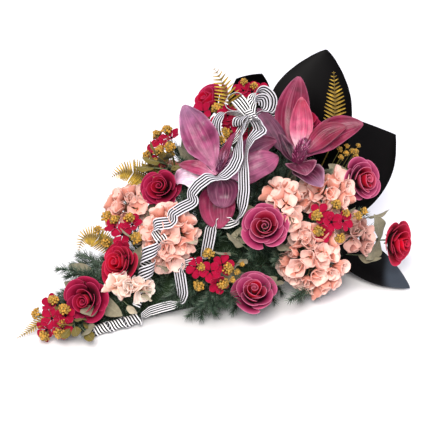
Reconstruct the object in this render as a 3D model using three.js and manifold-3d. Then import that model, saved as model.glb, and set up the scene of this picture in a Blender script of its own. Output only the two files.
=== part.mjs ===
// A lying funeral bouquet of artificial flowers, in the shape of a drop.
// Millimetres, +Z up. The floor is z = 0 and the origin is the middle of the base board's underside.
// The drop's tip points to -X and its broad head to +X, and the side that is looked at faces -Y.
// Every stem, twig, frond and sheet ends in its own plain hole in the foam block on the board.

import * as THREE from 'three';
import { mergeVertices } from 'three/addons/utils/BufferGeometryUtils.js';
import Module from 'manifold-3d';

const wasm = await Module();
wasm.setup();

// Driving dimensions, in millimetres.
const boardThickness = 6;
const boardMargin = 8; // how far the board stands out past the foam
const petalThickness = 0.8;
const leafThickness = 0.8;
const sheetThickness = 0.8;
const ribbonWidth = 25;
const ribbonThickness = 0.7;
const stemRadius = 1.7;
const wireRadius = 1.4; // of fir, ferns and the bow
const stoutRadius = 2.2; // of magnolias and the collar
const holeClearance = 0.35; // between a stem and its hole in the foam
const seatGap = 0.3; // between a bloom and the calyx that it sits on
const roseRadius = 43;
const roseHeight = 46;
const needleLength = 21;
const floorGap = 0.5; // under the lowest needles
const magnoliaBase = 8; // radius of a magnolia's receptacle
const magnoliaStep = 5; // from one tier of its petals to the next
const knotSize = [20, 22, 16]; // of the bow, the last along the way that it faces

// The foam block's cross-sections from tip to head: place along X, half width and height above the floor.
const foamSections = [
  { x: -300, half: 28, top: 44 },
  { x: -210, half: 52, top: 62 },
  { x: -70, half: 78, top: 84 },
  { x: 80, half: 94, top: 96 },
  { x: 200, half: 92, top: 94 },
  { x: 268, half: 66, top: 76 },
];

// Colours and finishes.
const finish = (color, roughness) =>
  new THREE.MeshStandardMaterial({ color, roughness, metalness: 0, side: THREE.DoubleSide });
const materials = {
  board: finish('#2b3a2c', 0.7),
  foam: finish('#3c5a3a', 0.95),
  rose: finish('#a8204c', 0.75),
  green: finish('#8d9683', 0.85),
  magnolia: finish('#a64a78', 0.6),
  hydrangea: finish('#eaa898', 0.85),
  spray: finish('#c01e44', 0.8),
  gold: finish('#b98a2c', 0.7),
  fir: finish('#1e3a26', 0.8),
  sheet: finish('#121014', 0.55),
  ribbon: finish('#e8e6ea', 0.6),
};

// Vectors and seeded chance.

const vec = (x, y, z) => new THREE.Vector3(x, y, z);
const at = (list) => new THREE.Vector3(...list);
const radians = THREE.MathUtils.degToRad;
const mix = THREE.MathUtils.lerp;

// Numbers from 0 to 1 that are the same on every run.
function seeded(seed) {
  let state = seed;
  return () => {
    state = (state * 1664525 + 1013904223) % 4294967296;
    return state / 4294967296;
  };
}

// The turned frame of something that faces an azimuth and elevation, in degrees.
// Azimuth 0 faces -Y and 90 faces +X. The frame's z is the way it faces, its x is level and to the right
// as one looks at its face, and its y is up its face.
function facing(azimuth, elevation) {
  const a = radians(azimuth);
  const e = radians(elevation);
  const z = vec(Math.sin(a) * Math.cos(e), -Math.cos(a) * Math.cos(e), Math.sin(e));
  const x = vec(Math.cos(a), Math.sin(a), 0);
  return { x, y: z.clone().cross(x), z };
}

const placed = (frame, origin, x, y, z) =>
  origin.clone().addScaledVector(frame.x, x).addScaledVector(frame.y, y).addScaledVector(frame.z, z);

// Solids.

// A closed geometry as a solid, after its shared vertices are merged and faces of no area are dropped.
function solidOf(geometry) {
  const bare = new THREE.BufferGeometry().setAttribute('position', geometry.getAttribute('position'));
  if (geometry.index) bare.setIndex(geometry.index);
  const merged = mergeVertices(bare, 1e-3);
  const index = merged.index.array;
  const kept = [];
  for (let i = 0; i < index.length; i += 3) {
    const [a, b, c] = [index[i], index[i + 1], index[i + 2]];
    if (a !== b && b !== c && c !== a) kept.push(a, b, c);
  }
  return new wasm.Manifold(
    new wasm.Mesh({
      numProp: 3,
      vertProperties: new Float32Array(merged.getAttribute('position').array),
      triVerts: new Uint32Array(kept),
    }),
  );
}

// A solid back as a geometry.
function geometryOf(solid) {
  const mesh = solid.getMesh();
  const points = new Float32Array(mesh.numVert * 3);
  for (let i = 0; i < mesh.numVert; i++) {
    points.set(mesh.vertProperties.subarray(i * mesh.numProp, i * mesh.numProp + 3), i * 3);
  }
  const geometry = new THREE.BufferGeometry().setAttribute('position', new THREE.BufferAttribute(points, 3));
  geometry.setIndex(new THREE.BufferAttribute(new Uint32Array(mesh.triVerts), 1));
  return geometry;
}

// A closed surface from rows of points and a list of triangles into them.
function solidFrom(points, triangles) {
  const geometry = new THREE.BufferGeometry().setFromPoints(points);
  geometry.setIndex(triangles.flat());
  return solidOf(geometry);
}

// The same, turned right side out where its triangles face in.
function solidFacingOut(points, triangles) {
  const made = solidFrom(points, triangles);
  return made.volume() < 0 ? solidFrom(points, triangles.map(([a, b, c]) => [a, c, b])) : made;
}

// The largest piece of a solid. Scraps that hang loose from it are dropped.
const largest = (solid) => solid.decompose().sort((a, b) => b.volume() - a.volume())[0];

// Several solids as one body.
const joined = (solids) => largest(wasm.Manifold.union(solids));

// A thin blade: surface(s, t) gives its middle, for s from -1 to 1 across and t from 0 to 1 along.
// Both faces are split into triangles alike. An end where the width is nought closes to an edge.
function blade(surface, across, along, thickness) {
  const small = 1e-3;
  const front = [];
  const back = [];
  for (let j = 0; j <= along; j++) {
    for (let i = 0; i <= across; i++) {
      const s = (2 * i) / across - 1;
      const t = j / along;
      const inside = Math.min(Math.max(t, small * 20), 1 - small * 20); // clear of an end that closes
      const du = surface(s + small, inside).sub(surface(s - small, inside));
      const dv = surface(s, inside + small).sub(surface(s, inside - small));
      const normal = du.cross(dv).normalize().multiplyScalar(thickness / 2);
      const middle = surface(s, t);
      front.push(middle.clone().add(normal));
      back.push(middle.clone().sub(normal));
    }
  }
  for (const j of [0, along]) {
    const first = j * (across + 1);
    if (surface(-1, j / along).distanceTo(surface(1, j / along)) > small) continue;
    for (let i = 1; i <= across; i++) {
      front[first + i].copy(front[first]);
      back[first + i].copy(back[first]);
    }
  }
  const size = front.length;
  const f = (i, j) => j * (across + 1) + i;
  const b = (i, j) => size + f(i, j);
  const triangles = [];
  for (let j = 0; j < along; j++) {
    for (let i = 0; i < across; i++) {
      triangles.push([f(i, j), f(i + 1, j), f(i + 1, j + 1)], [f(i, j), f(i + 1, j + 1), f(i, j + 1)]);
      triangles.push([b(i, j), b(i + 1, j + 1), b(i + 1, j)], [b(i, j), b(i, j + 1), b(i + 1, j + 1)]);
    }
    triangles.push([f(0, j), f(0, j + 1), b(0, j + 1)], [f(0, j), b(0, j + 1), b(0, j)]);
    triangles.push([f(across, j), b(across, j + 1), f(across, j + 1)]);
    triangles.push([f(across, j), b(across, j), b(across, j + 1)]);
  }
  for (let i = 0; i < across; i++) {
    triangles.push([f(i, 0), b(i, 0), b(i + 1, 0)], [f(i, 0), b(i + 1, 0), f(i + 1, 0)]);
    triangles.push([f(i, along), b(i + 1, along), b(i, along)]);
    triangles.push([f(i, along), f(i + 1, along), b(i + 1, along)]);
  }
  return solidFrom([...front, ...back], triangles);
}

// A bloom as one closed surface: a receptacle of stacked rings, whose sides may be drawn out into petals.
// Tiers go from the bottom up. A tier's petals are surface(s, t), like a blade's, one for each side that
// has one. The cap's rings close the receptacle above its petals, and its last is a point on the axis.
function crown(frame, origin, sides, tiers, cap) {
  const points = [];
  const triangles = [];
  const put = (p) => points.push(p) - 1;
  const ring = ({ z, radius, turn }) =>
    Array.from({ length: sides }, (_, i) => {
      const a = turn + (2 * Math.PI * (i - 0.5)) / sides;
      return put(placed(frame, origin, radius * Math.cos(a), radius * Math.sin(a), z));
    });
  const wall = (low, high) => {
    for (let i = 0; i < sides; i++) {
      const k = (i + 1) % sides;
      triangles.push([low[i], low[k], high[k]], [low[i], high[k], high[i]]);
    }
  };
  let top;
  for (const tier of tiers) {
    const low = ring(tier);
    const high = ring({ ...tier, z: tier.z + petalThickness });
    if (top) wall(top, low);
    else for (let i = 1; i < sides - 1; i++) triangles.push([low[0], low[i + 1], low[i]]);
    for (let i = 0; i < sides; i++) {
      const k = (i + 1) % sides;
      const petal = tier.petals[i];
      if (petal) drawOut(petal, [low[i], low[k]], [high[i], high[k]], put, triangles);
      else triangles.push([low[i], low[k], high[k]], [low[i], high[k], high[i]]);
    }
    top = high;
  }
  for (const level of cap.slice(0, -1)) {
    const next = ring(level);
    wall(top, next);
    top = next;
  }
  const tip = put(placed(frame, origin, 0, 0, cap[cap.length - 1].z));
  for (let i = 0; i < sides; i++) triangles.push([top[i], top[(i + 1) % sides], tip]);
  return solidFrom(points, triangles);
}

// One petal on a side of a crown's ring: its back starts at the side's lower edge, its front at the upper.
function drawOut({ surface, across, along }, [lowLeft, lowRight], [highLeft, highRight], put, triangles) {
  const small = 1e-3;
  const rows = [];
  for (let j = 1; j <= along; j++) {
    const t = j / along;
    const pointed = surface(-1, t).distanceTo(surface(1, t)) < small;
    const row = { front: [], back: [] };
    for (let i = 0; i <= across; i++) {
      const s = pointed ? 0 : (2 * i) / across - 1;
      const inside = Math.min(t, 1 - 20 * small);
      const du = surface(s + small, inside).sub(surface(s - small, inside));
      const dv = surface(s, inside + small).sub(surface(s, inside - small));
      const normal = dv.cross(du).normalize().multiplyScalar(petalThickness / 2);
      row.front.push(put(surface(s, t).add(normal)));
      row.back.push(put(surface(s, t).sub(normal)));
    }
    rows.push(row);
  }
  const middle = Math.floor(across / 2);
  const first = rows[0];
  for (let i = 0; i < across; i++) {
    triangles.push([i < middle ? highLeft : highRight, first.front[i], first.front[i + 1]]);
    triangles.push([i < middle ? lowLeft : lowRight, first.back[i + 1], first.back[i]]);
  }
  triangles.push([highLeft, first.front[middle], highRight], [lowLeft, lowRight, first.back[middle]]);
  triangles.push([first.front[0], highLeft, lowLeft], [first.front[0], lowLeft, first.back[0]]);
  triangles.push([highRight, first.front[across], first.back[across]]);
  triangles.push([highRight, first.back[across], lowRight]);
  for (let j = 1; j < along; j++) {
    const [near, far] = [rows[j - 1], rows[j]];
    for (let i = 0; i < across; i++) {
      const k = i + 1;
      triangles.push([near.front[i], far.front[i], far.front[k]]);
      triangles.push([near.front[i], far.front[k], near.front[k]]);
      triangles.push([near.back[i], far.back[k], far.back[i]]);
      triangles.push([near.back[i], near.back[k], far.back[k]]);
    }
    triangles.push([far.front[0], near.front[0], near.back[0]], [far.front[0], near.back[0], far.back[0]]);
    triangles.push([near.front[across], far.front[across], far.back[across]]);
    triangles.push([near.front[across], far.back[across], near.back[across]]);
  }
  const last = rows[along - 1];
  for (let i = 0; i < across; i++) {
    triangles.push([last.front[i + 1], last.front[i], last.back[i]]);
    triangles.push([last.front[i + 1], last.back[i], last.back[i + 1]]);
  }
}

// A straight rod between two points. Its ends have no middle point.
function rod(from, to, radius) {
  const sides = 3;
  const ahead = to.clone().sub(from).normalize();
  const x = vec(ahead.y, ahead.z, ahead.x).cross(ahead).normalize();
  const y = ahead.clone().cross(x);
  const ring = (centre, r) =>
    Array.from({ length: sides }, (_, i) => {
      const a = (2 * Math.PI * i) / sides;
      return centre.clone().addScaledVector(x, r * Math.cos(a)).addScaledVector(y, r * Math.sin(a));
    });
  const triangles = [];
  for (let i = 0; i < sides; i++) {
    const k = (i + 1) % sides;
    triangles.push([i, k, sides + k], [i, sides + k, sides + i]);
  }
  for (let i = 1; i < sides - 1; i++) triangles.push([0, i + 1, i], [sides, sides + i, sides + i + 1]);
  return solidFrom([...ring(from, radius), ...ring(to, radius)], triangles);
}

// A geometry that was made about the local axes, set into a turned frame.
function setInto(geometry, frame, origin) {
  geometry.applyMatrix4(new THREE.Matrix4().makeBasis(frame.x, frame.y, frame.z).setPosition(origin));
  return solidOf(geometry);
}

// The foam block and the board under it.

const foamShoulder = 0.55; // where its sides turn in, as a share of its height and of its half width

function foamOutline({ half, top }) {
  const shoulder = mix(boardThickness, top, foamShoulder);
  return [
    [-half, boardThickness],
    [-half, shoulder],
    [-half * foamShoulder, top],
    [half * foamShoulder, top],
    [half, shoulder],
    [half, boardThickness],
  ];
}

function foamBlock() {
  const points = [];
  const triangles = [];
  const corners = 6;
  for (const section of foamSections) {
    foamOutline(section).forEach(([y, z]) => points.push(vec(section.x, y, z)));
  }
  for (let j = 0; j < foamSections.length - 1; j++) {
    for (let i = 0; i < corners; i++) {
      const k = (i + 1) % corners;
      const [a, b] = [j * corners + i, j * corners + k];
      const [c, d] = [a + corners, b + corners];
      triangles.push([a, c, d], [a, d, b]);
    }
  }
  const last = (foamSections.length - 1) * corners;
  for (let i = 1; i < corners - 1; i++) {
    triangles.push([0, i, i + 1], [last, last + i + 1, last + i]);
  }
  return solidFrom(points, triangles);
}

function baseBoard() {
  const outline = new THREE.Shape();
  const first = foamSections[0];
  const last = foamSections[foamSections.length - 1];
  outline.moveTo(first.x - boardMargin, -first.half);
  foamSections.forEach(({ x, half }) => outline.lineTo(x, -half - boardMargin));
  outline.lineTo(last.x + boardMargin, -last.half);
  outline.lineTo(last.x + boardMargin, last.half);
  [...foamSections].reverse().forEach(({ x, half }) => outline.lineTo(x, half + boardMargin));
  outline.lineTo(first.x - boardMargin, first.half);
  outline.closePath();
  return solidOf(new THREE.ExtrudeGeometry(outline, { depth: boardThickness, bevelEnabled: false }));
}

const wholeFoam = foamBlock();

// The pieces made so far. A new one can be tried against them all before it goes in.

const nodes = [];
const holes = []; // what is bored out of the foam

// A piece of the bouquet: its place is the point that its mesh is set at.
function addNode(group, name, solid, place) {
  nodes.push({ group, name, solid, place, box: solid.boundingBox() });
}

const boxesMeet = (a, b) => [0, 1, 2].every((k) => a.min[k] <= b.max[k] && b.min[k] <= a.max[k]);

function isClear(solid) {
  const box = solid.boundingBox();
  if (box.min[2] < floorGap) return false;
  return nodes.every((node) => !boxesMeet(box, node.box) || solid.intersect(node.solid).isEmpty());
}

const isClearOfFoam = (solid) => isClear(solid) && solid.intersect(wholeFoam).isEmpty();

// Where a stem down from a point ends inside the foam: nearer to the middle than the point.
// The end moves along the foam in steps until the stem is clear of what stands there.
function stemRoot(top, radius = stemRadius) {
  const steps = [0, 12, -12, 24, -24, 36, -36, 48];
  const roots = steps.map((step) => vec(top.x * 0.7 + step, top.y * 0.3, 34 + 0.06 * top.z));
  return roots.find((root) => isClear(rod(top, root, radius + holeClearance))) ?? roots[0];
}

// A stem to its root, and its hole in the foam.
function stem(top, root, radius = stemRadius) {
  const end = root.clone().addScaledVector(root.clone().sub(top).normalize(), holeClearance);
  holes.push(rod(top, end, radius + 2 * holeClearance));
  return rod(top, root, radius);
}

// Roses: a furled bud with petals in layers round it, and under it a calyx on a leafy stem.

// Each layer, from the outside in: how far out and how high its lip stands, as shares, and its turn.
const roseLayers = [
  { reach: 1.0, height: 0.6, turn: 10 },
  { reach: 0.7, height: 0.84, turn: 46 },
  { reach: 0.4, height: 0.98, turn: 78 },
];
const rosePetals = 5; // in each layer
const petalSpan = 92; // degrees, so that each petal's sides lie behind and before its neighbours'

function roseBloom(frame, origin, size) {
  const radius = roseRadius * size;
  const height = roseHeight * size;
  const lean = 0.075 * radius; // one side of a petal stands out and the other in
  const base = 6.5; // radius of the receptacle
  const step = 3; // from one layer to the next
  const tiers = roseLayers.map((layer, k) => {
    const z = step * k;
    const petals = Array.from({ length: rosePetals }, (_, i) => {
      const angle = radians(layer.turn + (360 * i) / rosePetals);
      const surface = (s, t) => {
        const turn = angle + s * radians(petalSpan / 2) * mix(0.55, 1, t);
        const opened = Math.pow(Math.sin((t * Math.PI) / 2), 0.75);
        const out = mix(base, layer.reach * radius, opened) + lean * s * t;
        const up = z + (height * layer.height - z) * Math.pow(t, 1.15) * (1 - 0.16 * s * s * t);
        return placed(frame, origin, out * Math.cos(turn), out * Math.sin(turn), up);
      };
      return { surface, across: 2, along: 2 };
    });
    return { z, radius: base, turn: radians(layer.turn), petals };
  });
  const cap = [
    { z: 0.35 * height, radius: 8, turn: radians(100) },
    { z: 0.93 * height, radius: 5.5, turn: radians(130) },
    { z: 0.78 * height },
  ];
  return crown(frame, origin, rosePetals, tiers, cap);
}

// A leaf on the stem: pointed at both ends, folded a little along its rib and bent down towards its tip.
function leaf(frame, origin, angle, length, lift) {
  const out = placed(frame, vec(0, 0, 0), Math.cos(angle), Math.sin(angle), 0);
  const side = placed(frame, vec(0, 0, 0), -Math.sin(angle), Math.cos(angle), 0);
  const width = 0.27 * length;
  return blade(
    (s, t) => {
      const half = width * Math.pow(Math.sin(Math.PI * Math.pow(t, 0.8)), 0.8);
      const rise = lift * length * Math.sin((t * Math.PI) / 1.6) + 0.25 * half * Math.abs(s);
      return origin
        .clone()
        .addScaledVector(out, length * t)
        .addScaledVector(side, s * half)
        .addScaledVector(frame.z, rise);
    },
    2,
    3,
    leafThickness,
  );
}

// The calyx, its stem and its leaves. A leaf that meets something turns aside in steps, or is left out.
function roseStem(frame, origin, leafAngles) {
  const calyxHeight = 9;
  const leafDrop = 14; // from the calyx down to the leaves
  const leafLength = 68;
  const leafLift = 0.12;
  const calyx = new THREE.CylinderGeometry(8.5, 3, calyxHeight, 5)
    .rotateX(Math.PI / 2)
    .translate(0, 0, -seatGap - calyxHeight / 2);
  const foot = placed(frame, origin, 0, 0, -seatGap - calyxHeight + 1);
  const root = stemRoot(foot);
  const solids = [setInto(calyx, frame, origin), stem(foot, root)];
  const start = foot.clone().lerp(root, leafDrop / foot.distanceTo(root));
  for (const degrees of leafAngles) {
    for (const aside of [0, 14, -14, 28, -28]) {
      const made = leaf(frame, start, radians(degrees + aside), leafLength, leafLift);
      if (!isClearOfFoam(made)) continue;
      solids.push(made);
      break;
    }
  }
  return joined(solids);
}

// Magnolias: long boat-shaped petals in two tiers about a cone of stamens.

const magnoliaSides = 6;

// A petal leaves the middle at one angle from the axis and ends at another, along an arc. Its edges turn up.
function magnoliaPetal(frame, middle, petal) {
  const open = radians(petal.open);
  const bend = radians(petal.bend);
  const turn = radians(petal.turn);
  const out = placed(frame, vec(0, 0, 0), Math.cos(turn), Math.sin(turn), 0);
  const side = placed(frame, vec(0, 0, 0), -Math.sin(turn), Math.cos(turn), 0);
  const surface = (s, t) => {
    const angle = open + bend * t;
    const reach = (petal.length * (Math.cos(open) - Math.cos(angle))) / bend;
    const rise = (petal.length * (Math.sin(angle) - Math.sin(open))) / bend;
    const claw = mix(0.35, 1, THREE.MathUtils.smoothstep(t, 0, 0.45));
    const half = (petal.width / 2) * claw * Math.pow(Math.sin(Math.PI * Math.pow(t, 1.15)), 0.7);
    const cup = petal.cup * half * s * s;
    return middle
      .clone()
      .addScaledVector(out, reach - cup * Math.cos(angle))
      .addScaledVector(frame.z, rise + cup * Math.sin(angle))
      .addScaledVector(side, s * half);
  };
  return { surface, across: 3, along: 4 };
}

// Each tier's petals are listed from the right round to the left, with a blank for a side that has none.
function magnoliaBloom(frame, origin, petalTiers) {
  const tiers = petalTiers.map((plans, k) => {
    const z = magnoliaStep * k;
    const middle = placed(frame, origin, 0, 0, z);
    const petals = plans.map((petal) => petal && magnoliaPetal(frame, middle, petal));
    return { z, radius: magnoliaBase, turn: 0, petals };
  });
  const cap = [{ z: 13, radius: 6, turn: 0 }, { z: 17 }];
  const bloom = crown(frame, origin, magnoliaSides, tiers, cap);
  const coneRoute = [10, 25, 40].map((z) => placed(frame, origin, 0, 0, z));
  const cone = twig({ route: coneRoute, radius: 7, endRadius: 4, bands: 3, needle: 15, bare: 0 }, seeded(5));
  return joined([bloom, cone]);
}

function magnoliaStem(frame, origin) {
  const height = 8;
  const calyx = new THREE.CylinderGeometry(magnoliaBase + 1, 4, height, magnoliaSides)
    .rotateX(Math.PI / 2)
    .translate(0, 0, -seatGap - height / 2);
  const foot = placed(frame, origin, 0, 0, -seatGap - height + 1);
  return joined([setInto(calyx, frame, origin), stem(foot, stemRoot(foot, stoutRadius), stoutRadius)]);
}

// Twigs whose every facet rises to a needle: cheap in faces, and bristling on all sides.

// A twig along a route: a slim three-sided core, with two needles on each side of each band, laid forward.
// Its first bands may be bare.
function twig({ route, radius, endRadius, bands, needle, bare }, chance) {
  const curve = new THREE.CatmullRomCurve3(route);
  const sides = 3;
  const rings = [];
  for (let j = 0; j <= bands; j++) {
    const t = j / bands;
    const centre = curve.getPointAt(t);
    const ahead = curve.getTangentAt(t);
    const level = Math.abs(ahead.z) > 0.9 ? vec(1, 0, 0) : vec(0, 0, 1);
    const x = ahead.clone().cross(level).normalize();
    const y = ahead.clone().cross(x);
    const turn = j * 0.6;
    const r = mix(radius, endRadius, t);
    const ring = [];
    for (let i = 0; i < sides; i++) {
      const a = turn + (2 * Math.PI * i) / sides;
      ring.push(centre.clone().addScaledVector(x, r * Math.cos(a)).addScaledVector(y, r * Math.sin(a)));
    }
    rings.push({ ring, centre, ahead });
  }
  const points = [];
  const triangles = [];
  const put = (p) => points.push(p) - 1;
  const spike = (a, b, c, ahead, centre, length) => {
    const middle = a.clone().add(b).add(c).multiplyScalar(1 / 3);
    const outwards = middle.clone().sub(centre).projectOnPlane(ahead).normalize();
    const way = outwards.addScaledVector(ahead, 0.75 + 0.3 * (chance() - 0.5)).normalize();
    const [ia, ib, ic] = [put(a), put(b), put(c)];
    if (length <= 0) {
      triangles.push([ia, ib, ic]);
      return;
    }
    const tip = put(middle.addScaledVector(way, length * (0.85 + 0.3 * chance())));
    triangles.push([ia, ib, tip], [ib, ic, tip], [ic, ia, tip]);
  };
  for (let j = 0; j < bands; j++) {
    const [low, high] = [rings[j], rings[j + 1]];
    const length = j < bare ? 0 : needle;
    for (let i = 0; i < sides; i++) {
      const k = (i + 1) % sides;
      spike(low.ring[i], low.ring[k], high.ring[k], low.ahead, low.centre, length);
      spike(low.ring[i], high.ring[k], high.ring[i], high.ahead, high.centre, length);
    }
  }
  const first = rings[0].ring;
  const last = rings[bands];
  triangles.push([put(first[0]), put(first[2]), put(first[1])]);
  const tip = put(last.centre.clone().addScaledVector(last.ahead, needle * 0.7));
  for (let i = 0; i < sides; i++) triangles.push([put(last.ring[i]), put(last.ring[(i + 1) % sides]), tip]);
  return solidFacingOut(points, triangles);
}

// Small flowers and seed heads, each on a thin stalk of its own.

// A floret: a shallow funnel whose lobes stand up a little at their ends, on a stalk that tapers to its foot.
function floret(frame, origin, foot, radius, lobes, chance) {
  const stalk = 1.3;
  const points = [placed(frame, origin, 0, 0, -0.1 * radius)];
  const triangles = [];
  const start = chance() * Math.PI;
  const count = lobes * 3;
  const outline = (i) => 1 + (i % count);
  const neck = (j) => 1 + count + (j % 3);
  const end = 4 + count;
  for (let i = 0; i < count; i++) {
    const notch = i % 3 === 0;
    const a = start + (2 * Math.PI * (Math.floor(i / 3) + [0, 0.27, 0.73][i % 3])) / lobes;
    const r = notch ? 0.38 * radius : radius * (0.95 + 0.1 * chance());
    points.push(placed(frame, origin, r * Math.cos(a), r * Math.sin(a), notch ? 0 : 0.22 * radius));
  }
  for (let j = 0; j < 3; j++) {
    const a = start + (2 * Math.PI * j) / 3;
    points.push(placed(frame, origin, stalk * Math.cos(a), stalk * Math.sin(a), -0.3 * radius));
  }
  points.push(foot);
  for (let i = 0; i < count; i++) {
    const j = Math.floor((3 * i) / count);
    triangles.push([0, outline(i), outline(i + 1)], [neck(j), outline(i + 1), outline(i)]);
    if (Math.floor((3 * (i + 1)) / count) !== j) triangles.push([neck(j), neck(j + 1), outline(i + 1)]);
  }
  for (let j = 0; j < 3; j++) triangles.push([neck(j + 1), neck(j), end]);
  return solidFrom(points, triangles);
}

// A seed head: a three-sided spindle that swells at the end of its stalk.
function seedHead(foot, end, radius) {
  const ahead = end.clone().sub(foot).normalize();
  const x = vec(ahead.y, ahead.z, ahead.x).cross(ahead).normalize();
  const y = ahead.clone().cross(x);
  const rings = [[end, 1.2, -radius], [end, radius, 0.3 * radius]];
  const points = rings.flatMap(([centre, r, rise]) =>
    [0, 1, 2].map((j) => {
      const a = (2 * Math.PI * j) / 3;
      return centre
        .clone()
        .addScaledVector(x, r * Math.cos(a))
        .addScaledVector(y, r * Math.sin(a))
        .addScaledVector(ahead, rise);
    }),
  );
  const tip = points.push(end.clone().addScaledVector(ahead, 1.4 * radius)) - 1;
  const heel = points.push(foot) - 1;
  const triangles = [];
  for (let j = 0; j < 3; j++) {
    const k = (j + 1) % 3;
    triangles.push([heel, k, j], [j, k, k + 3], [j, k + 3, j + 3], [j + 3, k + 3, tip]);
  }
  return solidFrom(points, triangles);
}

// The turned frame of a small flower that looks along a direction.
function lookingAlong(ahead, up) {
  const x = ahead.clone().cross(up).normalize();
  return { x, y: ahead.clone().cross(x), z: ahead };
}

// A branch of fir: a needled twig out of the foam's side with two side twigs. Each tries turns until clear.
function firBranch(plan, seed) {
  const chance = seeded(seed);
  const solids = [];
  const grow = (from, azimuth, fullLength, fullBands) => {
    for (const [shorter, aside, lift] of firTries) {
      const length = shorter * fullLength;
      const bands = Math.ceil(shorter * fullBands);
      const a = radians(azimuth + aside);
      const out = vec(Math.sin(a), -Math.cos(a), 0);
      const [middle, end] = [0.5, 1].map((part) =>
        from.clone().addScaledVector(out, part * length).setZ(mix(from.z, plan.tipHeight + lift, part)),
      );
      middle.z += 0.06 * length;
      const route = [from, middle, end];
      const made = twig({ route, radius: 1.8, endRadius: 0.9, bands, needle: needleLength, bare: 1 }, chance);
      if (!isClear(made)) continue;
      solids.push(made);
      return new THREE.CatmullRomCurve3(route);
    }
    return undefined;
  };
  const from = at(plan.from);
  const main = grow(from, plan.azimuth, plan.length, 7);
  for (const [share, turn] of [[0.3, 42], [0.48, -38]]) {
    grow(main.getPointAt(share), plan.azimuth + turn, plan.length * 0.6, 3);
  }
  const inward = vec(from.x * 0.9, from.y * 0.4, from.z + 6);
  solids.push(stem(main.getPointAt(0.02), inward, wireRadius));
  return joined(solids);
}

// Hydrangea heads: florets of four petals that stand out of a smaller core.

function hydrangeaHead(head, seed) {
  const chance = seeded(seed);
  const frame = facing(head.azimuth, head.elevation);
  const origin = at(head.at);
  const cores = [0.6, 0.5, 0.4, 0.3].map((share) =>
    setInto(new THREE.IcosahedronGeometry(1, 0).scale(...head.size.map((r) => r * share)), frame, origin),
  );
  const solids = [cores.find(isClear) ?? cores[3]];
  const golden = Math.PI * (3 - Math.sqrt(5));
  for (let i = 0; i < head.florets; i++) {
    const up = 1 - (1.25 * (i + 0.5)) / head.florets;
    const flat = Math.sqrt(1 - up * up);
    const out = vec(flat * Math.cos(i * golden), flat * Math.sin(i * golden), up);
    const [x, y, z] = [0, 1, 2].map((k) => out.getComponent(k) * head.size[k]);
    const ahead = placed(frame, vec(0, 0, 0), out.x, out.y, out.z + 0.15).normalize();
    const centre = placed(frame, origin, x, y, z);
    const foot = origin.clone().lerp(centre, 0.35);
    const made = floret(lookingAlong(ahead, frame.y), centre, foot, 17 + 3 * chance(), 4, chance);
    if (isClear(made)) solids.push(made);
  }
  solids.push(stem(origin, stemRoot(origin)));
  return joined(solids);
}

// Sprays: red florets of five petals and golden seed heads on thin branches of one stem.

function spray(bunch, seed) {
  const chance = seeded(seed);
  const frame = facing(bunch.azimuth, bunch.elevation);
  const origin = at(bunch.at);
  const fork = placed(frame, origin, 0, 0, -34);
  const knob = setInto(new THREE.TetrahedronGeometry(5), frame, fork);
  const solids = [stem(fork, stemRoot(fork)), knob];
  const golden = 2.4;
  for (let i = 0; i < bunch.florets; i++) {
    const a = radians(bunch.turn ?? 0) + i * golden;
    const r = i === 0 ? 0 : 26;
    const centre = placed(frame, origin, r * Math.cos(a), r * Math.sin(a), i === 0 ? 0 : -7);
    const ahead = centre.clone().sub(fork).normalize().lerp(frame.z, 0.4).normalize();
    const flower = floret(lookingAlong(ahead, frame.y), centre, fork, 18, 5, chance);
    if (isClear(flower)) solids.push(flower);
  }
  for (let i = 0; i < bunch.seeds; i++) {
    const a = radians(bunch.turn ?? 0) + 1.2 + i * golden;
    const end = placed(frame, origin, 34 * Math.cos(a), 34 * Math.sin(a), 2 + 6 * chance());
    const head = seedHead(fork, end, 5.5);
    if (isClear(head)) solids.push(head);
  }
  return joined(solids);
}

// Ferns: an arched rib whose every step carries a pointed leaflet on both sides.

function frond(route, width, pairs, faceUp) {
  const curve = new THREE.CatmullRomCurve3(route);
  const thick = 0.9;
  const rib = 1.4; // half its width at its foot
  const points = [];
  const triangles = [];
  const put = (p) => points.push(p) - 1;
  const rings = [];
  for (let j = 0; j <= pairs; j++) {
    const t = j / pairs;
    const centre = curve.getPointAt(t);
    const ahead = curve.getTangentAt(t);
    const side = ahead.clone().cross(faceUp).normalize();
    const up = side.clone().cross(ahead).normalize();
    const half = rib * (1 - 0.6 * t);
    const corners = [[1, 1], [-1, 1], [-1, -1], [1, -1]].map(([s, u]) =>
      put(centre.clone().addScaledVector(side, s * half).addScaledVector(up, (u * thick) / 2)),
    );
    rings.push({ centre, ahead, side, up, corners });
  }
  for (let j = 0; j < pairs; j++) {
    const [low, high] = [rings[j], rings[j + 1]];
    const [a, b, c, d] = low.corners;
    const [e, f, g, h] = high.corners;
    triangles.push([a, e, f], [a, f, b], [c, g, h], [c, h, d]);
    const t = (j + 0.5) / pairs;
    const length = width * Math.pow(Math.sin(Math.PI * Math.pow(mix(0.12, 1, t), 0.7)), 0.8) + 1.5;
    const leaflet = (s) =>
      put(
        low.centre.clone().lerp(high.centre, 0.5)
          .addScaledVector(low.side, s * length)
          .addScaledVector(low.ahead, length * 0.55)
          .addScaledVector(low.up, length * 0.12),
      );
    const right = leaflet(1);
    const left = leaflet(-1);
    triangles.push([a, d, right], [d, h, right], [h, e, right], [e, a, right]);
    triangles.push([c, b, left], [b, f, left], [f, g, left], [g, c, left]);
  }
  const [a, b, c, d] = rings[0].corners;
  triangles.push([a, b, c], [a, c, d]);
  const [e, f, g, h] = rings[pairs].corners;
  triangles.push([e, h, g], [e, g, f]);
  return solidFacingOut(points, triangles);
}

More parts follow.
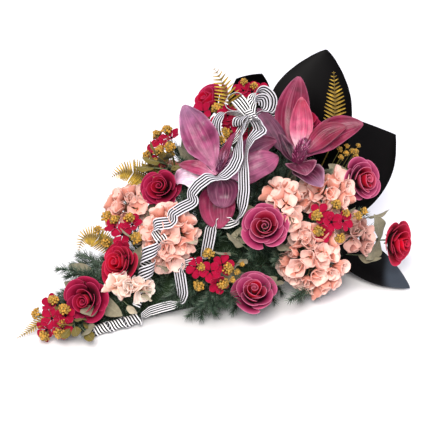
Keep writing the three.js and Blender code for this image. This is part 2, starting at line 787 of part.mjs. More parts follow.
function fern(plan) {
  const route = plan.route.map(at);
  const foot = route[0].clone().lerp(route[1], 0.04);
  const wire = stem(foot, stemRoot(foot, wireRadius), wireRadius);
  return joined([frond(route, plan.width, plan.pairs, at(plan.up)), wire]);
}

// The black collar: pointed sheets that leave the foam's head end narrow and spread behind the flowers.

// Each sheet follows a curve through its points, with its own width, belly and close on either side of it.
// The belly sets how far along the sheet is widest, and a close of 1 brings it to a point at its end.
// Its width lies across, and cup bends its sides towards the flowers.
function collarSheet(plan) {
  const curve = new THREE.CatmullRomCurve3(plan.route.map(at));
  const across = at(plan.across).normalize();
  const footHalf = 5;
  const leafShape = blade(
    (s, t) => {
      const ahead = curve.getTangent(t);
      const side = across.clone().projectOnPlane(ahead).normalize();
      const toFlowers = side.clone().cross(ahead).normalize();
      const { width, belly, close } = s < 0 ? plan.left : plan.right;
      const half = width * Math.pow(Math.sin(close * Math.PI * Math.pow(t, belly)), 0.8) + footHalf * (1 - t);
      return curve
        .getPoint(t)
        .addScaledVector(side, s * half)
        .addScaledVector(toFlowers, plan.cup * half * s * s);
    },
    4,
    6,
    sheetThickness,
  );
  const start = at(plan.route[0]);
  const root = vec(start.x - 45, start.y * 0.5, 0.25 * start.z + 30);
  return joined([leafShape, stem(start, root, stoutRadius)]);
}

// The ribbon: flat strips. The side function gives the way across the ribbon from the way along it.

// The width is a share of the ribbon's own, as it is gathered.
function strip(route, side, steps, width = () => 1) {
  const curve = new THREE.CatmullRomCurve3(route);
  const surface = (s, t) => {
    const across = side(curve.getTangentAt(t));
    return curve.getPointAt(t).addScaledVector(across, (s * width(t) * ribbonWidth) / 2);
  };
  return blade(surface, 1, steps, ribbonThickness);
}

const gathered = 0.38; // the ribbon's width at the knot, as a share

// A tail starts just clear of the knot's face and is turned to the way the bow faces, however it bends.
function tailRoute(tail) {
  const frame = facing(bow.azimuth, bow.elevation);
  const start = placed(frame, at(bow.at), ...tail.start, knotSize[2] / 2 + 2 * seatGap);
  return [start, ...tail.route.map(at)];
}

function ribbonTail(tail) {
  const face = facing(bow.azimuth, bow.elevation).z;
  const across = (ahead) => ahead.clone().cross(face).normalize();
  const width = (t) => mix(gathered, 1, THREE.MathUtils.smoothstep(t, 0, 0.08));
  return strip(tailRoute(tail), across, tail.steps, width);
}

// The bow: loops that leave the knot and come back to it, loose ends, and a wire pick down into the foam.
// Each ribbon's route and the way across it are in the bow's own frame.
function ribbonBow(bow) {
  const frame = facing(bow.azimuth, bow.elevation);
  const knotAt = at(bow.at);
  const knot = new THREE.BoxGeometry(...knotSize).rotateZ(radians(20));
  const wireTop = placed(frame, knotAt, 0, -4, -6);
  const solids = [setInto(knot, frame, knotAt), stem(wireTop, stemRoot(wireTop, wireRadius), wireRadius)];
  const lay = ({ route, across, steps }, width) => {
    const way = placed(frame, vec(0, 0, 0), ...across);
    const side = (ahead) => way.clone().projectOnPlane(ahead).normalize();
    solids.push(strip(route.map((point) => placed(frame, knotAt, ...point)), side, steps, width));
  };
  for (const loop of bow.loops) lay(loop, (t) => mix(gathered, 1, Math.pow(Math.sin(Math.PI * t), 0.7)));
  for (const end of bow.ends) lay(end, (t) => mix(gathered, 1, t));
  return joined(solids);
}

// Where each kind's chance starts. A piece adds its place in its list.
const hydrangeaSeed = 11;
const spraySeed = 31;
const firSeed = 51;

// What stands where. Places are the middle of a bloom's base, and turns are degrees.

const roses = [
  { at: [-274, -40, 66], azimuth: -48, elevation: 28, size: 1, leaves: [165, 215, 338] },
  { at: [-195, -43, 115], azimuth: -78, elevation: 38, size: 0.95, leaves: [70, 160] },
  { at: [-72, 24, 214], azimuth: -48, elevation: 40, size: 0.95, leaves: [245, 170] },
  { at: [67, -130, 168], azimuth: -38, elevation: 42, size: 1.05, leaves: [130, 198, 25] },
  { at: [13, -180, 52], azimuth: -25, elevation: 66, size: 1, leaves: [32, 116] },
  { at: [290, -114, 200], azimuth: 4, elevation: 30, size: 1.05, leaves: [125, 215] },
  { at: [326, -193, 90], azimuth: 22, elevation: 15, size: 1, leaves: [103, 188] },
  { at: [110, 134, 301], azimuth: -100, elevation: 50, size: 1, leaves: [] },
  { at: [252, 36, 258], azimuth: 30, elevation: 70, size: 1, leaves: [] },
  { at: [96, 160, 136], azimuth: 170, elevation: 35, size: 1, leaves: [150, 20, 270] },
];

// The sides of a tier look to 0, 60, 120, 180, 240 and 300 degrees, and each petal is near its own side.
const magnolias = [
  {
    at: [22, -26, 266],
    azimuth: -30,
    elevation: 42,
    tiers: [
      [
        { turn: 8, length: 122, width: 78, open: 92, bend: -22, cup: 0.3 },
        undefined,
        { turn: 122, length: 142, width: 82, open: 88, bend: -40, cup: 0.3 },
        { turn: 206, length: 92, width: 50, open: 90, bend: -14, cup: 0.5 },
        { turn: 272, length: 128, width: 66, open: 90, bend: -26, cup: 0.35 },
        undefined,
      ],
      [
        { turn: 26, length: 112, width: 56, open: 82, bend: -26, cup: 0.4 },
        { turn: 58, length: 84, width: 44, open: 60, bend: -34, cup: 0.6 },
        undefined,
        { turn: 170, length: 74, width: 42, open: 74, bend: -14, cup: 0.4 },
        { turn: 270, length: 92, width: 58, open: 72, bend: -30, cup: 0.5 },
        undefined,
      ],
    ],
  },
  {
    at: [175, -71, 264],
    azimuth: -6,
    elevation: 52,
    tiers: [
      [
        { turn: 20, length: 136, width: 76, open: 82, bend: -28, cup: 0.35 },
        { turn: 92, length: 154, width: 68, open: 80, bend: -30, cup: 0.35 },
        { turn: 140, length: 112, width: 42, open: 80, bend: -44, cup: 0.5 },
        undefined,
        undefined,
        { turn: 294, length: 100, width: 72, open: 92, bend: -22, cup: 0.4 },
      ],
      [
        { turn: 30, length: 108, width: 56, open: 66, bend: -26, cup: 0.45 },
        { turn: 86, length: 108, width: 46, open: 62, bend: -24, cup: 0.4 },
        undefined,
        { turn: 180, length: 80, width: 50, open: 66, bend: -30, cup: 0.55 },
        undefined,
        { turn: 288, length: 78, width: 60, open: 70, bend: -26, cup: 0.5 },
      ],
    ],
  },
];

// A head's size is its half extent along its own x, y and z.
const hydrangeas = [
  { at: [-132, 58, 172], azimuth: -80, elevation: 35, size: [34, 40, 34], florets: 9 },
  { at: [-108, -58, 166], azimuth: -40, elevation: 38, size: [42, 58, 36], florets: 13 },
  { at: [-226, -84, 92], azimuth: -40, elevation: 45, size: [52, 16, 24], florets: 8 },
  { at: [116, -116, 200], azimuth: -30, elevation: 40, size: [24, 46, 30], florets: 8 },
  { at: [206, -122, 196], azimuth: -25, elevation: 40, size: [46, 30, 30], florets: 9 },
  { at: [150, -176, 94], azimuth: -25, elevation: 25, size: [52, 56, 38], florets: 13 },
  { at: [254, -168, 112], azimuth: 5, elevation: 25, size: [26, 34, 30], florets: 7 },
  { at: [10, 150, 140], azimuth: 175, elevation: 35, size: [46, 40, 36], florets: 9 },
];

const sprays = [
  { at: [-350, -36, 44], azimuth: -60, elevation: 35, turn: 200, florets: 4, seeds: 4 },
  { at: [-184, -14, 168], azimuth: -62, elevation: 45, turn: 20, florets: 3, seeds: 3 },
  { at: [-30, 112, 258], azimuth: -95, elevation: 45, turn: 40, florets: 4, seeds: 3 },
  { at: [-62, -140, 116], azimuth: -32, elevation: 30, turn: 250, florets: 3, seeds: 3 },
  { at: [186, -182, 172], azimuth: -10, elevation: 35, turn: 80, florets: 3, seeds: 3 },
  { at: [88, 52, 312], azimuth: -50, elevation: 65, turn: 300, florets: 3, seeds: 2 },
  { at: [176, 84, 318], azimuth: 150, elevation: 70, turn: 0, florets: 3, seeds: 2 },
];

const ferns = [
  {
    name: 'fern_tip',
    route: [[-300, -20, 36], [-350, -12, 30], [-392, -16, 16], [-418, -18, 10]],
    width: 15,
    pairs: 14,
    up: [0, 0, 1],
  },
  {
    name: 'fern_left',
    route: [[-196, 22, 120], [-226, 20, 158], [-256, 8, 172], [-276, -10, 160]],
    width: 17,
    pairs: 14,
    up: [-0.3, -0.8, 0.6],
  },
  {
    name: 'fern_brush',
    route: [[-60, 70, 190], [-96, 84, 226], [-128, 90, 240], [-152, 92, 234]],
    width: 26,
    pairs: 15,
    up: [-0.3, -0.7, 0.6],
  },
  {
    name: 'fern_top',
    route: [[112, 66, 250], [112, 84, 330], [106, 104, 372], [98, 124, 398]],
    width: 26,
    pairs: 17,
    up: [-0.5, -0.7, 0.4],
  },
  {
    name: 'fern_black',
    route: [[304, -4, 220], [318, 8, 300], [324, 22, 340], [328, 34, 372]],
    width: 20,
    pairs: 17,
    up: [-0.5, -0.8, 0.3],
  },
];

// Places in the bow are across it, up it and out of it from the middle of its knot.
const bow = {
  at: [117, 11, 338],
  azimuth: -30,
  elevation: 32,
  loops: [
    {
      route: [[2, 4, 0], [0, 24, 8], [14, 43, 10], [36, 38, 6], [43, 16, 0], [8, -2, -3]],
      across: [-0.75, 0.1, 0.65],
      steps: 7,
    },
    {
      route: [[-4, 2, 2], [-17, 17, 8], [-28, 32, 5], [-28, 34, -6], [-18, 18, -12], [-4, 2, -6]],
      across: [0.85, 0.5, 0],
      steps: 7,
    },
    {
      route: [[-4, 2, -5], [-8, 30, -16], [-26, 45, -18], [-45, 36, -18], [-48, 16, -16], [-4, -2, -5]],
      across: [0, 0, 1],
      steps: 8,
    },
    {
      route: [
        [-6, -2, -4], [-34, 2, -10], [-58, 2, -14], [-69, -14, -14], [-66, -38, -10], [-50, -56, -8],
        [-26, -40, -8], [-6, -6, -5],
      ],
      across: [0.6, 0, 0.8],
      steps: 9,
    },
  ],
  ends: [
    { route: [[6, -2, 0], [30, -6, 2], [52, 2, 0], [70, 14, -6]], across: [-0.3, 0.9, 0.3], steps: 3 },
    { route: [[4, -6, 0], [14, -22, 4], [20, -42, 4]], across: [0.95, 0.3, 0], steps: 2 },
    { route: [[-2, -6, 0], [-14, -14, 5], [-24, -26, 4]], across: [0.8, -0.6, 0], steps: 2 },
  ],
};

// A tail's start is across and up the knot's face. Then it runs over the flowers towards the drop's tip.
const tails = [
  {
    name: 'ribbon_tail_short',
    start: [-3, 2],
    steps: 19,
    route: [
      [68, -38, 352], [43, -76, 330], [26, -82, 290], [2, -80, 278], [-26, -76, 288], [-58, -64, 254],
      [-88, -60, 226], [-112, -70, 214], [-140, -70, 200], [-140, -96, 176], [-166, -86, 160],
      [-172, -84, 136], [-188, -94, 96], [-192, -98, 60],
    ],
  },
  {
    name: 'ribbon_tail_long',
    start: [6, -6],
    steps: 21,
    route: [
      [91, -61, 340], [74, -73, 320], [47, -96, 286], [30, -113, 238], [20, -109, 201], [-3, -83, 182],
      [-28, -86, 166], [-44, -98, 134], [-58, -108, 124], [-90, -120, 128], [-108, -112, 112],
      [-110, -108, 84], [-106, -110, 58], [-120, -106, 38], [-158, -96, 26], [-200, -84, 20],
      [-236, -80, 18], [-268, -74, 18], [-296, -70, 15],
    ],
  },
];

// What a fir twig tries in turn: its share of the full length, degrees aside, and millimetres up at its tip.
const firTries = [1, 0.8, 0.6].flatMap((share) =>
  [[0, 0], [8, 0], [-8, 0], [0, 10], [16, 0], [-16, 0], [10, 12], [-10, 12], [24, 6], [-24, 6], [0, 26]].map(
    ([aside, lift]) => [share, aside, lift],
  ),
);

// The fir lies all round the foam. A branch's place is where it leaves the foam.
const firs = [
  { from: [-226, 20, 68], azimuth: 286, length: 80, tipHeight: 104 },
  { from: [-50, -98, 30], azimuth: -36, length: 66, tipHeight: 22 },
  { from: [44, -110, 30], azimuth: -52, length: 88, tipHeight: 22 },
  { from: [156, -108, 30], azimuth: -6, length: 94, tipHeight: 22 },
  { from: [-150, 84, 32], azimuth: 236, length: 96, tipHeight: 24 },
  { from: [20, 106, 34], azimuth: 194, length: 106, tipHeight: 26 },
  { from: [206, 104, 34], azimuth: 160, length: 104, tipHeight: 26 },
];

const sheets = [
  {
    name: 'sheet_up',
    route: [[246, 26, 94], [278, 48, 200], [318, 76, 310], [356, 102, 388]],
    across: [0.55, -0.83, 0],
    left: { width: 98, belly: 0.9, close: 1 },
    right: { width: 90, belly: 0.95, close: 1 },
    cup: 0.16,
  },
  {
    name: 'sheet_right',
    route: [[286, -12, 66], [350, -26, 110], [399, -38, 164], [430, -46, 240]],
    across: [0.68, -0.56, -0.42],
    left: { width: 106, belly: 1.1, close: 0.5 },
    right: { width: 45, belly: 0.7, close: 0.97 },
    cup: 0.14,
  },
  {
    name: 'sheet_low',
    route: [[268, -88, 44], [290, -140, 38], [314, -200, 22], [338, -256, 6]],
    across: [1, 0.4, 0.1],
    left: { width: 46, belly: 0.8, close: 1 },
    right: { width: 46, belly: 0.8, close: 1 },
    cup: 0.12,
  },
  {
    name: 'sheet_back',
    route: [[196, 78, 84], [206, 146, 200], [206, 164, 290], [200, 156, 344]],
    across: [1, -0.25, 0.1],
    left: { width: 46, belly: 1, close: 0.82 },
    right: { width: 46, belly: 1, close: 0.82 },
    cup: 0.14,
  },
];

// Assembly: first what keeps its place, then what gives way to it.

const frames = (plans) => plans.map((plan) => facing(plan.azimuth, plan.elevation));

frames(roses).forEach((frame, i) => {
  addNode('rose', `rose_bloom_${i + 1}`, roseBloom(frame, at(roses[i].at), roses[i].size), at(roses[i].at));
});

frames(magnolias).forEach((frame, i) => {
  const place = at(magnolias[i].at);
  addNode('magnolia', `magnolia_bloom_${i + 1}`, magnoliaBloom(frame, place, magnolias[i].tiers), place);
  addNode('green', `magnolia_stem_${i + 1}`, magnoliaStem(frame, place), place);
});

addNode('ribbon', 'ribbon_bow', ribbonBow(bow), at(bow.at));
for (const tail of tails) addNode('ribbon', tail.name, ribbonTail(tail), tailRoute(tail)[0]);
for (const plan of sheets) addNode('sheet', plan.name, collarSheet(plan), at(plan.route[0]));

for (const plan of ferns) addNode('gold', plan.name, fern(plan), at(plan.route[0]));
frames(roses).forEach((frame, i) => {
  addNode('green', `rose_stem_${i + 1}`, roseStem(frame, at(roses[i].at), roses[i].leaves), at(roses[i].at));
});

hydrangeas.forEach((head, i) => {
  addNode('hydrangea', `hydrangea_${i + 1}`, hydrangeaHead(head, hydrangeaSeed + i), at(head.at));
});
sprays.forEach((bunch, i) => addNode('spray', `spray_${i + 1}`, spray(bunch, spraySeed + i), at(bunch.at)));
firs.forEach((plan, i) => addNode('fir', `fir_${i + 1}`, firBranch(plan, firSeed + i), at(plan.from)));

const foam = wasm.Manifold.difference([wholeFoam, ...holes]);
addNode('foam', 'foam_block', largest(foam), vec(0, 0, boardThickness));
addNode('board', 'base_board', baseBoard(), vec(0, 0, 0));

const bouquet = new THREE.Group();
for (const [kind, material] of Object.entries(materials)) {
  const group = new THREE.Group();
  for (const node of nodes.filter((each) => each.group === kind)) {
    const geometry = geometryOf(node.solid).translate(...node.place.clone().negate().toArray());
    const mesh = new THREE.Mesh(geometry, material);
    mesh.name = node.name;
    mesh.position.copy(node.place);
    group.add(mesh);
  }
  bouquet.add(group);
}

export default bouquet;
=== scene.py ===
import math
import bpy
import numpy as np
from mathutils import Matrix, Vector


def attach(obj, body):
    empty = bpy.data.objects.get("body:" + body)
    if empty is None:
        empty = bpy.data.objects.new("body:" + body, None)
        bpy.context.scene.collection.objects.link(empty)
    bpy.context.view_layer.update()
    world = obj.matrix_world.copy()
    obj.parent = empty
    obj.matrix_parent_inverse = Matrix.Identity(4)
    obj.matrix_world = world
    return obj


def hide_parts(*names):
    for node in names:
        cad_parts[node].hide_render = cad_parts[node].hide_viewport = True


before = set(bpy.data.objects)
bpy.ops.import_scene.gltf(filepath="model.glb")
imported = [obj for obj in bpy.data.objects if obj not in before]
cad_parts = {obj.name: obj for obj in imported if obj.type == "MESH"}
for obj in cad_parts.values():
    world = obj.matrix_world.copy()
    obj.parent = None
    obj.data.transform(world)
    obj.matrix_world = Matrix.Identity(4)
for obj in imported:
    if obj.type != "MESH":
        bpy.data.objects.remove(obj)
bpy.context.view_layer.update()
mm = 0.001


# Numbers, colours and directions

goldenAngle = 2.39996     # radians


# From a to b: a, plus the share of the difference.
def mix(a, b, share):
    return a + (b - a) * share


# Rises from 0 to 1 between low and high: 3 x squared less 2 x cubed.
def ease(value, low, high):
    x = np.clip((value - low) / (high - low), 0, 1)
    return x * x * (3 - 2 * x)


# An sRGB hex value as linear light: each channel is ((c + 0.055) / 1.055) to the power 2.4.
def paint(text):
    channels = np.array([int(text[i:i + 2], 16) for i in (1, 3, 5)]) / 255
    return np.where(channels <= 0.04045, channels / 12.92, ((channels + 0.055) / 1.055) ** 2.4)


# The same as a colour socket takes it, with full cover.
def opaque(text):
    return (*paint(text), 1)


# Vectors over their own lengths.
def unit(vectors):
    return vectors / np.maximum(np.linalg.norm(vectors, axis=-1, keepdims=True), 1e-12)


# Points about the z axis: out times the cosine of the turn, out times its sine, and up.
def polar(out, turn, up):
    return np.stack(np.broadcast_arrays(out * np.cos(turn), out * np.sin(turn), up), axis=-1)


# Rows x, y and z of a flower that faces an azimuth (0 faces -Y, 90 faces +X) and an elevation, in degrees.
# x is level and to the right of one who looks at its face, y is up its face, and z is the way it faces.
def facing(azimuth, elevation):
    a, e = math.radians(azimuth), math.radians(elevation)
    x = polar(1, a, 0)
    z = polar(math.cos(e), a - math.pi / 2, math.sin(e))
    return np.stack([x, np.cross(z, x), z])


# The same for many at once: z is each one's way, x is square to it and to up, and y is square to both.
def framesAlong(ways, up=(0.3, -0.5, 0.8)):
    z = unit(np.asarray(ways, float))
    x = unit(np.cross(np.asarray(up, float), z))
    return np.stack([x, np.cross(z, x), z], axis=-2)


# Ways square to a frame's z: its x times the cosine of the turn, plus its y times the sine.
def around(frames, turn):
    return np.cos(turn)[..., None] * frames[..., 0, :] + np.sin(turn)[..., None] * frames[..., 1, :]


# The turns of a ring's corners, evenly spaced.
def cornerTurns(corners):
    return np.arange(corners) * 2 * math.pi / corners


# The rows of a frame turned about its z.
def turnedBy(angle):
    return np.stack([polar(1, angle, 0), polar(1, angle + math.pi / 2, 0), (0, 0, 1)])


# Where a flower stands, in metres, and its rows.
def standing(flower):
    return np.array(flower["at"]) * mm, facing(flower["azimuth"], flower["elevation"])


# Points evenly spaced on a straight line.
def straight(start, end, count):
    return mix(start, end, np.linspace(0, 1, count)[:, None])


# How far each point of a path is from its start: the sum of the steps before it.
def distances(path):
    return np.concatenate([[0], np.cumsum(np.linalg.norm(np.diff(path, axis=0), axis=1))])


# A path's whole length.
def lengthOf(path):
    return float(distances(path)[-1])


# The way that a path runs at each of its points.
def aheadOf(path):
    return unit(np.gradient(path, axis=0))


# A smooth curve through points: on each span a cubic whose end slopes follow the neighbours, each weighted by
# the square root of its distance. Even steps give the same number of points to each span, or else to each length.
def curveThrough(points, count, evenSteps=False):
    p = np.asarray(points, float)
    p = np.concatenate([[2 * p[0] - p[1]], p, [2 * p[-1] - p[-2]]])
    gaps = np.maximum(np.linalg.norm(np.diff(p, axis=0), axis=1), 1e-6) ** 0.5
    spans = len(p) - 3
    place = np.linspace(0, spans, count if evenSteps else 60 * spans + 1)
    i = np.minimum(place.astype(int), spans - 1)
    w = (place - i)[:, None]
    d0, d1, d2 = gaps[i][:, None], gaps[i + 1][:, None], gaps[i + 2][:, None]
    a, b, c, d = p[i], p[i + 1], p[i + 2], p[i + 3]
    leave = ((b - a) / d0 - (c - a) / (d0 + d1) + (c - b) / d1) * d1
    reach = ((c - b) / d1 - (d - b) / (d1 + d2) + (d - c) / d2) * d1
    curve = (2 * b - 2 * c + leave + reach) * w ** 3 + (3 * c - 3 * b - 2 * leave - reach) * w ** 2 + leave * w + b
    if evenSteps:
        return curve
    far = distances(curve)
    even = np.linspace(0, far[-1], count)
    return np.stack([np.interp(even, far, column) for column in curve.T], axis=1)


# Meshes

sharpAngle = 50     # degrees; edges that turn by more are shaded sharp


# Surfaces gathered for one piece. Each point keeps its place across and along its own sheet, and a tint.
class Heap:
    def __init__(self):
        self.points, self.places, self.tints, self.quads, self.triangles = [], [], [], [], []
        self.count = 0

    # The new points' numbers are returned, in the shape that the points came in.
    def addPoints(self, points, places, tints):
        shape = points.shape[:-1]
        total = int(np.prod(shape))
        self.points.append(points.reshape(-1, 3))
        self.places.append(np.broadcast_to(places, shape + (2,)).reshape(-1, 2))
        self.tints.append(np.broadcast_to(tints, shape + (3,)).reshape(-1, 3))
        index = self.count + np.arange(total).reshape(shape)
        self.count += total
        return index

    def addQuads(self, a, b, c, d):
        self.quads.append(np.stack([a, b, c, d], axis=-1).reshape(-1, 4))

    def addTriangles(self, a, b, c):
        self.triangles.append(np.stack([a, b, c], axis=-1).reshape(-1, 3))

    # Thin sheets (n, rows, columns): two faces, half a thickness either side of the middle, and a rim.
    def addSheets(self, sheets, tints, thickness, backTints=None, placeScale=(1, 1)):
        sheets = np.asarray(sheets, float)
        rows, columns = sheets.shape[1:3]
        u, v = np.meshgrid(np.linspace(0, placeScale[0], columns), np.linspace(0, placeScale[1], rows))
        places = np.stack([u, v], axis=-1)
        out = unit(np.cross(np.gradient(sheets, axis=2), np.gradient(sheets, axis=1)))
        half = out * thickness / 2
        f = self.addPoints(sheets + half, places, tints)
        b = self.addPoints(sheets - half, places, tints if backTints is None else backTints)
        self.addQuads(f[:, :-1, :-1], f[:, :-1, 1:], f[:, 1:, 1:], f[:, 1:, :-1])
        self.addQuads(b[:, :-1, :-1], b[:, 1:, :-1], b[:, 1:, 1:], b[:, :-1, 1:])
        self.addQuads(f[:, 0, 1:], f[:, 0, :-1], b[:, 0, :-1], b[:, 0, 1:])
        self.addQuads(f[:, -1, :-1], f[:, -1, 1:], b[:, -1, 1:], b[:, -1, :-1])
        self.addQuads(f[:, :-1, 0], f[:, 1:, 0], b[:, 1:, 0], b[:, :-1, 0])
        self.addQuads(f[:, 1:, -1], f[:, :-1, -1], b[:, :-1, -1], b[:, 1:, -1])

    # Rings (n, rings, corners) joined into tubes, and closed by a fan at either end.
    def addTubes(self, rings, tints):
        corners = rings.shape[2]
        u, v = np.meshgrid(np.linspace(0, 1, corners), np.linspace(0, 1, rings.shape[1]))
        index = self.addPoints(rings, np.stack([u, v], axis=-1), tints)
        turned = np.roll(index, -1, axis=2)
        self.addQuads(index[:, :-1], turned[:, :-1], turned[:, 1:], index[:, 1:])
        for k in range(1, corners - 1):
            self.addTriangles(index[:, 0, 0], index[:, 0, k + 1], index[:, 0, k])
            self.addTriangles(index[:, -1, 0], index[:, -1, k], index[:, -1, k + 1])

    # One tube along a path, with a radius for each of its points.
    def addTube(self, path, radii, corners, tints):
        ahead = aheadOf(path)
        up = (0, 0, 1) if abs(ahead[:, 2]).mean() < 0.8 else (1, 0, 0)
        radii = np.broadcast_to(np.asarray(radii, float), len(path))[:, None, None]
        rings = path[:, None] + radii * around(framesAlong(ahead, up)[:, None], cornerTurns(corners))
        self.addTubes(rings[None], tints)

    # Straight thin stalks from each start to each end.
    def addStalks(self, starts, ends, radius, tints, corners=4):
        ring = radius * around(framesAlong(ends - starts)[:, None], cornerTurns(corners))
        self.addTubes(np.stack([starts[:, None] + ring, ends[:, None] + ring], axis=1), tints)

    # Needles: three-sided points from each root along each way.
    def addNeedles(self, roots, ways, lengths, radius, rootTints, tipTints):
        frames = framesAlong(ways)
        base = roots[:, None] + radius * around(frames[:, None], cornerTurns(3))
        tips = roots + frames[:, 2] * lengths[:, None]
        points = np.concatenate([base, tips[:, None]], axis=1)
        tints = np.stack([rootTints, rootTints, rootTints, tipTints], axis=1)
        index = self.addPoints(points, np.array([[0, 0], [0.5, 0], [1, 0], [0.5, 1]]), tints)
        for a, b, c in ((0, 1, 3), (1, 2, 3), (2, 0, 3), (0, 2, 1)):
            self.addTriangles(index[:, a], index[:, b], index[:, c])

    # Balls: rings from the bottom up, out by the cosine and up by the sine of their latitude times the radius.
    def addBalls(self, middles, radii, tints, rings=5, corners=7):
        latitude = np.radians(np.linspace(-78, 78, rings))[:, None]
        ball = polar(np.cos(latitude), cornerTurns(corners), np.sin(latitude))
        self.addTubes(middles[:, None, None] + radii[:, None, None, None] * ball, tints[:, None, None])

    # The finished mesh: it lies where its points say, rides on the part and stands for its nodes.
    def build(self, name, material, nodes=()):
        points, places, tints = (np.concatenate(each) for each in (self.points, self.places, self.tints))
        quads = np.concatenate(self.quads + [np.zeros((0, 4), int)])
        triangles = np.concatenate(self.triangles + [np.zeros((0, 3), int)])
        corners = np.concatenate([quads.ravel(), triangles.ravel()]).astype(np.int32)
        starts = np.concatenate([4 * np.arange(len(quads)), quads.size + 3 * np.arange(len(triangles))])
        mesh = bpy.data.meshes.new(name)
        mesh.vertices.add(len(points))
        mesh.vertices.foreach_set("co", points.astype(np.float32).ravel())
        mesh.loops.add(len(corners))
        mesh.loops.foreach_set("vertex_index", corners)
        mesh.polygons.add(len(starts))
        mesh.polygons.foreach_set("loop_start", starts.astype(np.int32))
        mesh.uv_layers.new(name="place").data.foreach_set("uv", places[corners].astype(np.float32).ravel())
        colour = np.concatenate([np.clip(tints, 0, 1), np.ones((len(tints), 1))], axis=1).astype(np.float32)
        mesh.color_attributes.new("tint", "FLOAT_COLOR", "POINT").data.foreach_set("color", colour.ravel())
        mesh.update(calc_edges=True)
        mesh.shade_smooth()
        mesh.set_sharp_from_angle(angle=math.radians(sharpAngle))
        mesh.materials.append(material)
        piece = bpy.data.objects.new(name, mesh)
        bpy.context.scene.collection.objects.link(piece)
        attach(piece, "root")
        if nodes:
            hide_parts(*nodes)
        return piece


petalSpan = (0.02, 0.985)     # where a bent petal begins and ends, as shares of its length


# How far a petal rises at s across and t along it: cup times the half width times s squared, and towards its edges
# wave times the half width times the sine of 2.2 turns along it.
def sideRise(half, s, t, cup, wave, phase):
    return cup * half * s ** 2 + wave * half * np.abs(s) ** 3 * np.sin(2 * math.pi * (2.2 * t + phase) + 1.5 * s)


# Petals bent along an arc, about the origin. A petal's middle line leaves the axis at its opening angle and turns
# by its bend, so it runs out by the sum of the sine and up by the sum of the cosine of its angle. Its half width
# follows the outline, it rises as above, and its corners draw back by corner times its length, t and s squared.
def bentPetals(turn, length, width, opening, bend, cup, outline, rows, columns, wave=0.0, phase=0.0, corner=0.0):
    turn, length, width, opening, bend, cup, wave, phase = (
        np.atleast_1d(np.asarray(value, float))[:, None, None]
        for value in np.broadcast_arrays(turn, length, width, opening, bend, cup, wave, phase)
    )
    begin, end = petalSpan
    s = np.linspace(-1, 1, columns)[None, None, :]
    t = np.linspace(begin, end, rows)[None, :, None]
    angle = np.radians(opening + bend * t)
    step = length * (end - begin) / (rows - 1)

    # The sum along the petal, where each step counts the mean of the values at its two ends.
    def summed(values):
        steps = (values[:, 1:] + values[:, :-1]) / 2 * step
        return begin * length * values[:, :1] + np.concatenate([0 * steps[:, :1], np.cumsum(steps, axis=1)], axis=1)

    half = width / 2 * outline(t)
    rise = sideRise(half, s, t, cup, wave, phase)
    back = corner * length * t ** 2 * s ** 2
    out = summed(np.sin(angle)) - rise * np.cos(angle) - back * np.sin(angle)
    up = summed(np.cos(angle)) + rise * np.sin(angle) - back * np.cos(angle)
    a = np.radians(turn)
    return polar(out, a, up) + polar(s * half, a + math.pi / 2, 0)


# Outlines: the half width along a petal, as a share. Each is a power of a half turn's sine, and the first two
# start from a narrow foot.
def boatOutline(t):
    return mix(0.35, 1, ease(t, 0, 0.45)) * np.sin(math.pi * t ** 1.15) ** 0.7


def shellOutline(t):
    return mix(0.25, 1, ease(t, 0, 0.6)) * np.sin(math.pi * t ** 1.6) ** 0.42


def leafOutline(t):
    return np.sin(math.pi * t ** 0.8) ** 0.8


# Stems

rootAim = {"shares": (0.7, 0.3, 0.06), "height": 0.034}     # of a stem's top, along x, y and z, and m


# Where a stem ends in the foam: the mean of its node's three corners that lie nearest to where it is aimed.
def rootOf(node, top):
    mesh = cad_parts[node].data
    corners = np.empty(len(mesh.vertices) * 3, np.float32)
    mesh.vertices.foreach_get("co", corners)
    corners = np.unique(corners.reshape(-1, 3).round(6), axis=0)
    aim = top * rootAim["shares"] + [0, 0, rootAim["height"]]
    return corners[np.argsort(np.linalg.norm(corners - aim, axis=1))[:3]].mean(axis=0)


# A straight stem from its top to its root, which it returns.
def addStem(heap, node, top, radius, tints, rings=10, corners=8):
    root = rootOf(node, top)
    heap.addTube(straight(top, root, rings), radius * mm, corners, tints)
    return root


# A calyx under a flower, whose radius goes from its foot to its rim, and the stem that holds it. Both ends of the
# stem are returned.
def addCalyx(heap, node, flower, style, calyxTint, stemTint):
    place, rows = standing(flower)
    heights, radii = (np.array(each) * mm for each in style["calyx"])
    heap.addTube(place + heights[:, None] * rows[2], radii, style["corners"], calyxTint)
    top = place - rows[2] * style["neck"] * mm
    return top, addStem(heap, node, top, style["radius"], stemTint, style["rings"], style["stemCorners"])


# A piece's name: a prefix, and its node's words after the first, each with a capital.
def pieceName(prefix, node):
    return prefix + "".join(word.capitalize() for word in node.split("_")[1:])


# Materials

# One node with its settings, its fixed values and what feeds it.
def addNode(tree, kind, values=None, feeds=None, **settings):
    node = tree.nodes.new(kind)
    for key, value in settings.items():
        setattr(node, key, value)
    for key, value in (values or {}).items():
        node.inputs[key].default_value = value
    for key, source in (feeds or {}).items():
        tree.links.new(source, node.inputs[key])
    return node


# An empty material and its node tree.
def startMaterial(name):
    material = bpy.data.materials.new(name)
    material.use_nodes = True
    material.node_tree.nodes.clear()
    return material, material.node_tree


# The shader, with its fixed values and what feeds it, ends a material.
def endMaterial(material, values, feeds=None):
    shader = addNode(material.node_tree, "ShaderNodeBsdfPrincipled", values, feeds)
    addNode(material.node_tree, "ShaderNodeOutputMaterial", feeds={"Surface": shader.outputs[0]})
    return material


